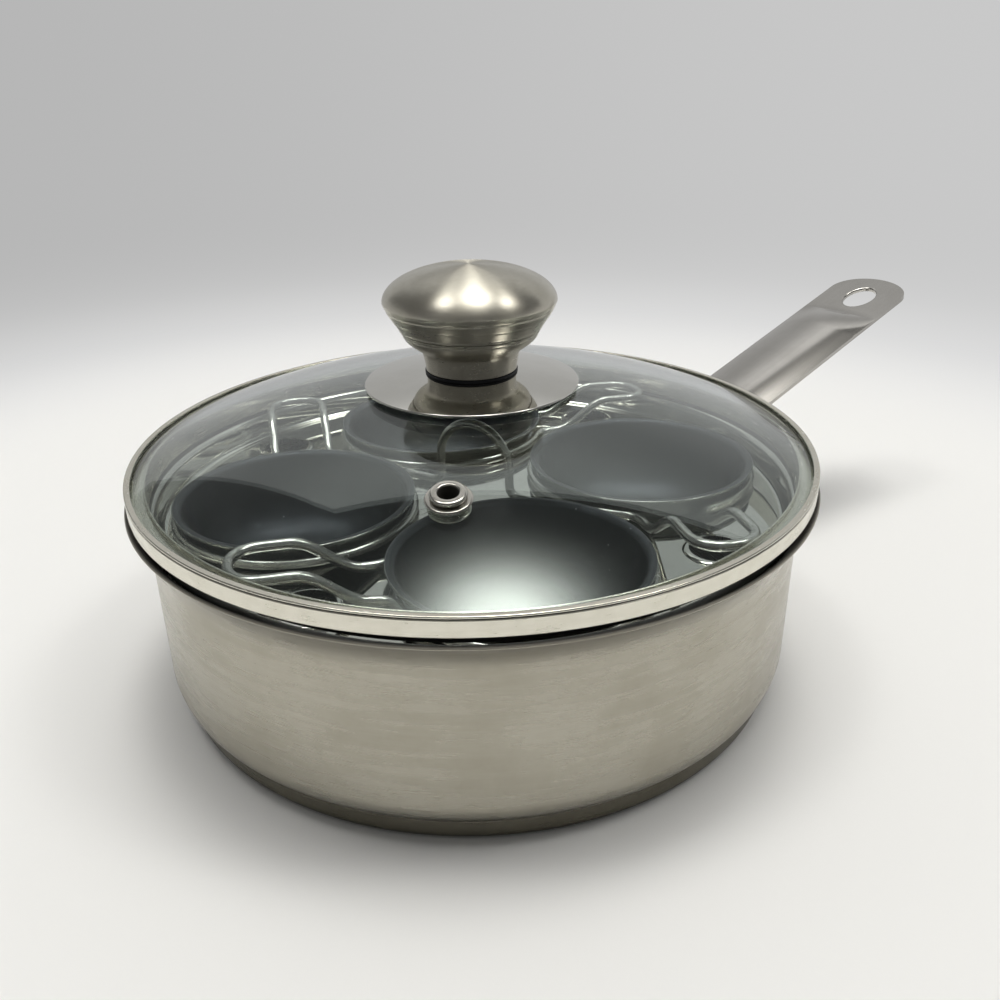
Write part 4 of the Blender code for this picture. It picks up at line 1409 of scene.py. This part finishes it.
@dataclass
class Vent:
    """The steam vent's eyelet and washer, square to the glass."""

    place_radius: float = 68.9 * MM
    azimuth: float = math.radians(-132.5)
    bore: float = 2.7 * MM
    tube_wall: float = 0.8 * MM
    collar_radius: float = 4.8 * MM
    collar_height: float = 1.5 * MM
    washer_radius: float = 6.2 * MM
    washer_thickness: float = 0.7 * MM
    washer_bevel: float = 0.35 * MM
    flare_radius: float = 5.6 * MM
    flare_thickness: float = 0.7 * MM
    glass_thickness: float = 4.0 * MM
    gap: float = 0.3 * MM

    def pose(self, lid: Lid) -> Matrix:
        """Return the vent's place and tilt on the glass.

        Args:
            lid: The lid that carries it.

        Returns:
            The pose.
        """
        tilt = math.asin(self.place_radius / lid.ball)
        place = Vector((
            self.place_radius * math.cos(self.azimuth),
            self.place_radius * math.sin(self.azimuth),
            lid.glass_top(self.place_radius),
        ))
        upright = Matrix.Translation(place) @ Matrix.Rotation(self.azimuth, 4, "Z")
        return upright @ Matrix.Rotation(tilt, 4, "Y")

    def hole_tool(self, lid: Lid) -> bpy.types.Object:
        """Return the shape that cuts the vent's hole.

        Args:
            lid: The lid that carries it.

        Returns:
            The shape.
        """
        radius = self.bore + self.tube_wall + self.gap
        tool = turned("vent_hole_tool", ring(0, radius, -9 * MM, 5 * MM), 48)
        tool.data.transform(self.pose(lid))
        return tool

    def build(self, finishes: Finishes, lid: Lid) -> None:
        """Build and dress the vent.

        Args:
            finishes: The object's finishes.
            lid: The lid that carries it.
        """
        tube = self.bore + self.tube_wall
        low = self.gap + self.washer_thickness + self.gap
        high = low + self.collar_height
        flare_top = -self.glass_thickness - self.gap
        eyelet = turned("vent_eyelet_fine", eased([
            (self.bore + 0.2 * MM, high),
            (self.collar_radius, high),
            (self.collar_radius, low),
            (tube, low),
            (tube, flare_top),
            (self.flare_radius, flare_top),
            (self.flare_radius, flare_top - self.flare_thickness),
            (self.bore, flare_top - self.flare_thickness),
            (self.bore, high - 0.5 * MM),
        ], 0.62 * MM, 7), 72)
        washer_top, bevel = self.gap + self.washer_thickness, self.washer_bevel
        washer = turned("vent_washer_fine", eased([
            (tube + self.gap, washer_top),
            (self.washer_radius - bevel, washer_top),
            (self.washer_radius, self.gap + bevel),
            (self.washer_radius, self.gap),
            (tube + self.gap, self.gap),
        ], 0.25 * MM, 4), 72)
        for piece, node in ((eyelet, "vent_eyelet"), (washer, "vent_washer")):
            piece.matrix_world = self.pose(lid)
            finishes.dress(piece, VENT_STEEL, "lid", node)


@dataclass
class Knob:
    """The spun knob, the mirror disc under it and the seals."""

    radius: float = 26.2 * MM
    thickness: float = 1.0 * MM
    bottom: float = 97.600 * MM
    body_height: float = 11.4 * MM
    skirt_height: float = 8.1 * MM
    crown_height: float = 10.6 * MM
    gap: float = 0.3 * MM
    bore: float = 2.7 * MM
    body_shares: Line = field(default_factory=lambda: [
        (0.534, 0.00), (0.550, 0.21), (0.573, 0.40), (0.603, 0.49),
        (0.668, 0.59), (0.752, 0.75), (0.800, 0.92), (0.813, 1.00),
    ])
    skirt_shares: Line = field(default_factory=lambda: [
        (0.826, 0.00), (0.860, 0.20), (0.917, 0.47), (0.966, 0.74), (1.0, 1.0),
    ])
    disc_radius: float = 33.0 * MM
    disc_ball: float = 154.732 * MM
    disc_crown: float = 96.201 * MM
    disc_sheet: float = 1.0 * MM
    seal_radius: float = 14.2 * MM
    seal_hole: float = 4.5 * MM
    seal_top: float = 96.55 * MM
    foot_height: float = 1.0 * MM
    lines: Line = field(default_factory=lambda: [(115.7, 0.16), (112.9, 0.12), (110.1, 0.12), (108.1, 0.15)])
    line_width: float = 0.28

    def _scored(self, path: Line) -> Line:
        """Cut the knob's fine lines into a path; their heights, depths and width are in millimetres.

        Args:
            path: The path, as radii and heights.

        Returns:
            The path with its lines.
        """
        scored: Line = []
        for r, z in path:
            depth = 0.0
            for height, deep in self.lines:
                depth += deep * math.exp(-((z / MM - height) / self.line_width) ** 2)
            scored.append((r - depth * MM, z))
        return scored

    @staticmethod
    def _flowing(points: Line, steps: int = 16) -> Line:
        """Draw a smooth line through points.

        Args:
            points: The points that it runs through.
            steps: How many facets lie between two.

        Returns:
            The smooth line.
        """
        line: Line = []
        for i in range(len(points) - 1):
            p0 = Vector(points[max(i - 1, 0)])
            p1, p2 = Vector(points[i]), Vector(points[i + 1])
            p3 = Vector(points[min(i + 2, len(points) - 1)])
            for k in range(steps):
                t = k / steps
                line.append(tuple(
                    ((p1 * 2) + (p2 - p0) * t + (p0 * 2 - p1 * 5 + p2 * 4 - p3) * t**2
                     + (p1 * 3 - p0 - p2 * 3 + p3) * t**3) / 2
                ))
        line.append(tuple(points[-1]))
        return line

    def body_outline(self) -> Line:
        """Return the outline of the knob's lower half.

        Returns:
            The closed outline, as radii and heights.
        """
        path = [(self.radius * r, self.bottom + self.body_height * z) for r, z in self.body_shares]
        path = self._scored(self._flowing(path))
        foot = self.bottom - self.foot_height
        return eased(sheet([(self.bore, foot), (path[0][0], foot), *path], self.thickness), 0.28 * MM)

    def cap_outline(self) -> Line:
        """Return the outline of the knob's upper half.

        Returns:
            The closed outline, as radii and heights.
        """
        lip = self.bottom + self.body_height + self.gap
        widest = lip + self.skirt_height
        skirt = [(self.radius * r, lip + self.skirt_height * z) for r, z in self.skirt_shares]
        skirt = self._scored(self._flowing(skirt))
        steps = 44
        crown = [
            (self.radius * math.cos(turn), widest + self.crown_height * math.sin(turn))
            for turn in (QUARTER * i / steps for i in range(1, steps))
        ]
        outer = skirt + crown + [(0, widest + self.crown_height)]
        inner = shifted(outer, self.thickness)
        inner[-1] = (0, inner[-1][1])
        return eased(outer + inner[::-1], 0.28 * MM)

    def _dome(self, first: float, last: float, lift: float = 0.0) -> Line:
        """Return a line on the disc's upper face between two radii, lifted clear of it if asked.

        Args:
            first: The radius at its start.
            last: The radius at its end.
            lift: How far it lies off the disc.

        Returns:
            The line.
        """
        ball = self.disc_ball + lift
        turns = [QUARTER - math.asin(radius / ball) for radius in (first, last)]
        return arc((0, self.disc_crown - self.disc_ball), ball, *turns, 40)

    def disc_outline(self) -> Line:
        """Return the outline of the domed disc."""
        return eased(sheet(self._dome(self.disc_radius, self.bore), self.disc_sheet), 0.4 * MM, 5, 60.0)

    def seal_outline(self) -> Line:
        """Return the outline of the seal, which fits the disc."""
        under = self._dome(self.seal_radius, self.seal_hole, 0.04 * MM)
        return eased([(self.seal_radius, self.seal_top), *under, (self.seal_hole, self.seal_top)], 0.3 * MM)

    def build(self, finishes: Finishes) -> None:
        """Build and dress the knob.

        Args:
            finishes: The object's finishes.
        """
        for node, outline, segments, finish in (
            ("knob_body", self.body_outline(), 160, KNOB_STEEL),
            ("knob_cap", self.cap_outline(), 160, KNOB_STEEL),
            ("knob_disc", self.disc_outline(), 192, MIRROR_STEEL),
            ("knob_seal_ring", self.seal_outline(), 96, RUBBER),
        ):
            finishes.dress(turned(f"{node}_fine", outline, segments), finish, "lid", node)
        for node, finish in (
            ("knob_gasket_top", RUBBER),
            ("knob_gasket_under", RUBBER),
            ("knob_washer", MIRROR_STEEL),
            ("knob_boss", MIRROR_STEEL),
            ("knob_screw", MIRROR_STEEL),
        ):
            finishes.repaint(node, finish)


@dataclass
class Insert:
    """The lift-out plate with its holes, and its wire handle."""

    thickness: float = 0.8 * MM
    wall_radius: float = 98.0 * MM
    lip_radius: float = 101.5 * MM
    lip_under: float = 60.425 * MM
    foot_fillet: float = 3.0 * MM
    lip_fillet: float = 1.6 * MM
    cup_hole: float = 34.262 * MM
    finger_place: float = 81.3 * MM
    finger_hole: float = 7.8 * MM
    finger_ring: float = 1.8 * MM
    finger_height: float = 0.8 * MM
    through: Span = (40.0 * MM, 60.0 * MM)
    wire_radius: float = 1.4 * MM
    lift_half: float = 12.9 * MM
    lift_height: float = 24.8 * MM
    foot_reach: float = 28.0 * MM
    bend: float = 3.5 * MM
    gap: float = 0.3 * MM

    def plate(self) -> bpy.types.Object:
        """Build the plate with its cup holes and raised finger holes.

        Returns:
            The plate.
        """
        path = rounded([
            (0, PLATE_TOP - self.thickness, 0),
            (self.wall_radius, PLATE_TOP - self.thickness, self.foot_fillet),
            (self.wall_radius, self.lip_under, self.lip_fillet),
            (self.lip_radius, self.lip_under, 0),
        ], 8)
        plate = turned("insert_plate_fine", eased(sheet(path, self.thickness), 0.3 * MM), 256)
        collars = []
        tools = []
        outer = self.finger_hole + self.finger_ring
        base, crest = PLATE_TOP - self.thickness / 2, PLATE_TOP + self.finger_height
        bead = [
            (0, base),
            (outer + 0.2 * MM, base),
            (outer, PLATE_TOP + 0.05 * MM),
            (outer - 0.25 * MM, PLATE_TOP + 0.4 * MM),
            (outer - 0.7 * MM, crest - 0.12 * MM),
            (outer - 1.1 * MM, crest),
            (0, crest),
        ]

        def tool(kind: str, outline: Line, segments: int, azimuth: float, reach: float) -> bpy.types.Object:
            """Turn a shape and stand it on the plate at an azimuth and a distance from the axis.

            Args:
                kind: What it makes.
                outline: Its outline.
                segments: How many steps go round.
                azimuth: Its direction from the axis.
                reach: Its distance from the axis.

            Returns:
                The shape.
            """
            shape = turned(f"{kind}_tool", outline, segments)
            shape.data.transform(Matrix.Rotation(azimuth, 4, "Z") @ Matrix.Translation((reach, 0, 0)))
            return shape

        cup_hole, finger_hole = (ring(0, hole, *self.through) for hole in (self.cup_hole, self.finger_hole))
        for i in range(CUPS):
            azimuth = math.tau * i / CUPS
            between = azimuth - math.pi / CUPS
            tools.append(tool("cup_hole", cup_hole, 128, azimuth, CUP_PITCH))
            collars.append(tool("finger_ring", bead, 72, between, self.finger_place))
            tools.append(tool("finger_hole", finger_hole, 72, between, self.finger_place))
        cut(plate, collars, "UNION")
        cut(plate, tools)
        soften(plate, 0.2 * MM, 2, 60.0)
        shade(plate.data, 30.0)
        plate.data.transform(Matrix.Rotation(INSERT_TURN, 4, "Z"))
        return plate

    def lift(self) -> bpy.types.Object:
        """Build the wire handle in the middle of the plate.

        Returns:
            The wire handle.
        """
        foot = PLATE_TOP + self.gap + self.wire_radius
        centre = PLATE_TOP + self.lift_height - self.wire_radius - self.lift_half
        leg = rounded([
            (self.foot_reach, foot, 0),
            (self.lift_half, foot, self.bend),
            (self.lift_half, centre, 0),
        ], 16)
        bow = arc((0, centre), self.lift_half, 0, math.pi, 48)
        line = leg[:-1] + bow + [(-r, z) for r, z in leg[-2::-1]]
        turn = Matrix.Rotation(INSERT_TURN - math.pi / CUPS, 3, "Z")
        even = spaced([turn @ Vector((r, 0, z)) for r, z in line], 0.7 * MM, False)
        return wire("insert_handle_fine", even, self.wire_radius, False)

    def build(self, finishes: Finishes) -> None:
        """Build and dress the plate and its handle."""
        finishes.dress(levelled(self.plate()), MIRROR_STEEL, "insert", "insert_plate")
        finishes.dress(self.lift(), WIRE_STEEL, "insert", "insert_handle")


@dataclass
class CupSet:
    """The four cups, each with the wire that carries it."""

    flange_under: float = 58.525 * MM
    foot: float = 33.425 * MM
    thickness: float = 0.9 * MM
    foot_radius: float = 30.198 * MM
    mouth_radius: float = 34.898 * MM
    flange_radius: float = 36.798 * MM
    corner: float = 17.0 * MM
    flange_fillet: float = 1.0 * MM
    wire_radius: float = 1.5 * MM
    wire_z: float = 54.525 * MM
    hoop: float = 36.230 * MM
    side_a: float = -13.5 * MM
    side_b: float = 5.0 * MM
    loop_reach: float = 75.988 * MM
    ramp_start: float = 41.030 * MM
    ramp_end: float = 59.988 * MM
    loop_height: float = 11.8 * MM
    end_radius: float = 8.0 * MM
    root_ease: float = 5.0 * MM

    def _height(self, reach: float) -> float:
        """Return the wire's height at a distance out from the cup's axis."""
        climb = smooth_step((reach - self.ramp_start) / (self.ramp_end - self.ramp_start))
        return self.wire_z + (PLATE_TOP + self.loop_height - self.wire_z) * climb

    def wire_line(self) -> list[Vector]:
        """Return the closed line of a cup's wire: out, round the loop's end, back and round the hoop.

        Returns:
            The points of the wire's middle line.
        """
        roots = [Vector((math.sqrt(self.hoop**2 - side**2), side)) for side in (self.side_a, self.side_b)]
        angles = [math.atan2(root.y, root.x) for root in roots]
        ease = self.root_ease / self.hoop
        out = Vector((self.root_ease, 0))

        def on_hoop(angle: float) -> Vector:
            """Return a point on the hoop."""
            return Vector((math.cos(angle), math.sin(angle))) * self.hoop

        def corner(before: Vector, middle: Vector, after: Vector) -> list[Vector]:
            """Turn from one line into another."""
            shares = [i / 12 for i in range(13)]
            return [before * (1 - t) ** 2 + middle * 2 * t * (1 - t) + after * t**2 for t in shares]

        climb = [self.ramp_start + (self.ramp_end - self.ramp_start) * i / 30 for i in range(31)]
        plan = corner(on_hoop(angles[0] - ease), roots[0], roots[0] + out)
        plan += [Vector((reach, self.side_a)) for reach in climb]
        end = rounded([
            (self.ramp_end, self.side_a, 0),
            (self.loop_reach, self.side_a, self.end_radius),
            (self.loop_reach, self.side_b, self.end_radius),
            (self.ramp_end, self.side_b, 0),
        ], 18)
        plan += [Vector(point) for point in end[1:-1]]
        plan += [Vector((reach, self.side_b)) for reach in climb[::-1]]
        plan += corner(roots[1] + out, roots[1], on_hoop(angles[1] + ease))
        first = angles[1] + ease
        span = math.tau - (angles[1] - angles[0]) - 2 * ease
        plan += [on_hoop(first + span * i / 120) for i in range(1, 120)]
        line = [Vector((point.x, point.y, self._height(point.x))) for point in plan]
        return spaced(line, 1.0 * MM, True)

    def cup_outline(self) -> Line:
        """Return a cup's outline.

        Returns:
            The closed outline, as radii and heights.
        """
        path = rounded([
            (0, self.foot, 0),
            (self.foot_radius, self.foot, self.corner),
            (self.mouth_radius, self.flange_under, self.flange_fillet),
            (self.flange_radius, self.flange_under, 0),
        ], 20)
        return eased(sheet(path, self.thickness), 0.36 * MM, 5)

    def build(self, finishes: Finishes) -> None:
        """Build and dress the four cups and their wires.

        Args:
            finishes: The object's finishes.
        """
        outline = self.cup_outline()
        line = self.wire_line()
        for number in range(1, CUPS + 1):
            body = f"cup_{number}_set"
            azimuth = INSERT_TURN + math.tau * (number - 1) / CUPS
            centre = Matrix.Rotation(azimuth, 3, "Z") @ Vector((CUP_PITCH, 0, 0))
            cup = levelled(turned(f"cup_{number}_fine", outline, 128))
            cup.location = centre
            finishes.dress(cup, NON_STICK, body, f"cup_{number}")
            turn = Matrix.Rotation(azimuth - QUARTER, 3, "Z")
            around = [centre + turn @ point for point in line]
            hoop = wire(f"cup_wire_{number}_fine", around, self.wire_radius, True)
            finishes.dress(hoop, WIRE_STEEL, body, f"cup_wire_{number}")


@dataclass(frozen=True)
class Glow:
    """One soft round patch of light overhead: where it stands, how wide it spreads and how strong it is."""

    right: float
    back: float
    spread: float
    strength: float


@dataclass
class Studio:
    """The paper sweep, the light overhead and the camera."""

    floor_radius: float = 0.56
    bend: float = 0.30
    panel_top: float = 1.33
    panel_left: float = math.radians(-33.0)
    panel_slant: float = math.radians(8.0)
    panel_right: float = math.radians(75.0)
    sweep_level: float = math.radians(75.0)
    sweep_fall: float = math.radians(110.0)
    sweep_depth: float = 0.95
    room_span: Span = (-0.6, 0.8)
    warmth: Colour = (1.0, 0.985, 0.95)
    room_front: Colour = (0.13, 0.13, 0.13)
    room_back: Colour = (0.60, 0.60, 0.595)
    ceiling: Colour = (0.14, 0.14, 0.14)
    behind: Colour = (0.53, 0.53, 0.53)
    view_turn: float = math.radians(-37.0)
    image_width: float = 1000.0
    focal_length: float = 960.52
    eye_height: float = 186.40 * MM
    eye_distance: float = 284.43 * MM
    pitch: float = 0.4445
    yaw: float = 0.0284
    roll: float = -0.016
    glows: tuple[Glow, ...] = (
        Glow(0.065, 0.17, 0.115, 15.5),
        Glow(0.12, -0.10, 0.08, 3.0),
        Glow(-0.31, 0.05, 0.075, 15.0),
        Glow(0.50, 0.02, 0.075, 15.0),
    )

    def _height(self, x: float, y: float, z: float) -> float:
        """Give a point of the sweep its height: a tall panel behind the object, nothing towards the camera.

        Args:
            x: The point's place along the handle.
            y: The point's place across it.
            z: The point's height in the plain sweep.

        Returns:
            Its height in the backdrop.
        """
        angle = math.remainder(math.atan2(x, y) + self.view_turn, math.tau)
        share = min(max((angle - self.panel_left) / self.panel_slant + 1, 0.0), 1.0)
        share *= angle <= self.panel_right
        top = self.bend + (self.panel_top * math.cos(angle) - self.bend) * share
        fall = smooth_step((abs(angle) - self.sweep_level) / (self.sweep_fall - self.sweep_level))
        return min(z, max(top, self.bend)) * (1 - self.sweep_depth * fall)

    def _paper(self) -> None:
        """Lay the floor and raise the backdrop all round."""
        material = PaperFinish("studio_paper", self.view_turn).build()
        disc = [(0, 0), (self.floor_radius, 0), (self.floor_radius, -MM), (0, -MM)]
        floor = turned("studio_floor", disc, 128)
        sweep = arc((self.floor_radius, self.bend), self.bend, -QUARTER, 0, 24)
        sweep.append((self.floor_radius + self.bend, self.panel_top))
        back = [(r + MM, z - MM) for r, z in sweep]
        wall = turned("studio_backdrop", sweep + back[::-1], 240, 80.0)
        for vertex in wall.data.vertices:
            vertex.co.z = self._height(*vertex.co)
        wall.visible_diffuse = False
        wall.visible_shadow = False
        for piece in (floor, wall):
            piece.data.materials.append(material)

    def _world(self) -> None:
        """Light the room from overhead, with a darker ceiling for what metal and glass reflect."""
        world = bpy.data.worlds.new("studio_world")
        bpy.context.scene.world = world
        world.use_nodes = True
        graph = Graph(world.node_tree)
        seen = (graph.ray("Glossy") + graph.ray("Transmission")).between(0.0, 1.0)
        looking = graph.signal("ShaderNodeTexCoord", output="Generated")
        turn = Matrix.Rotation(self.view_turn, 3, "Z")

        def towards(direction: Vector) -> Signal:
            """Return how nearly a ray runs in a direction of the view."""
            both = {0: looking, 1: tuple(turn @ direction.normalized())}
            return graph.signal("ShaderNodeVectorMath", {"operation": "DOT_PRODUCT"}, both, "Value")

        light = None
        for glow in self.glows:
            height = math.sqrt(1 - glow.right**2 - glow.back**2)
            facing = towards(Vector((glow.right, glow.back, height))).above(0.0)
            patch = facing ** (1 / glow.spread**2) * glow.strength
            light = patch if light is None else light + patch
        scaled = {0: self.warmth, "Scale": light}
        warm = graph.signal("ShaderNodeVectorMath", {"operation": "SCALE"}, scaled)
        behind = towards(Vector((0, 1, 0))).between(*self.room_span)
        room = graph.blend(behind, self.room_front, self.room_back)

        def sky(colour: Colour | Signal) -> Signal:
            """Light the world in one colour."""
            return graph.signal("ShaderNodeBackground", None, {"Color": colour})

        mixed = graph.mixed(seen, sky(room), sky(self.ceiling))
        lit = graph.signal("ShaderNodeAddShader", None, {0: mixed, 1: sky(warm)})
        whole = graph.mixed(graph.ray("Camera"), lit, sky(self.behind))
        graph.node("ShaderNodeOutputWorld", None, {"Surface": whole})

    def _camera(self) -> None:
        """Stand the camera where the photograph was taken from."""
        pitch, yaw, roll = self.pitch, self.yaw, self.roll
        flat = math.cos(pitch)
        onward = Vector((math.sin(yaw) * flat, math.cos(yaw) * flat, -math.sin(pitch)))
        level = Vector((math.cos(yaw), -math.sin(yaw), 0))
        upright = level.cross(onward)
        right = level * math.cos(roll) + upright * math.sin(roll)
        up = upright * math.cos(roll) - level * math.sin(roll)
        pose = Matrix((right, up, -onward)).transposed().to_4x4()
        pose.translation = (0, -self.eye_distance, self.eye_height)
        data = bpy.data.cameras.new("camera")
        data.sensor_width = 36.0
        data.lens = data.sensor_width * self.focal_length / self.image_width
        data.clip_start = 0.01
        camera = bpy.data.objects.new("camera", data)
        camera.matrix_world = Matrix.Rotation(self.view_turn, 4, "Z") @ pose
        bpy.context.scene.collection.objects.link(camera)
        bpy.context.scene.camera = camera

    def build(self) -> None:
        """Set up the whole studio."""
        self._paper()
        self._world()
        self._camera()
        bpy.context.scene.view_settings.view_transform = "Standard"


def main() -> None:
    """Build every sub-assembly in order."""
    logging.basicConfig(level=logging.INFO, format="%(message)s")
    finishes = Finishes()
    Studio().build()
    Pan().build(finishes)
    Handle().build(finishes)
    lid, vent = Lid(), Vent()
    lid.build(finishes, vent)
    vent.build(finishes, lid)
    Knob().build(finishes)
    Insert().build(finishes)
    CupSet().build(finishes)


if __name__ == "__main__":
    main()
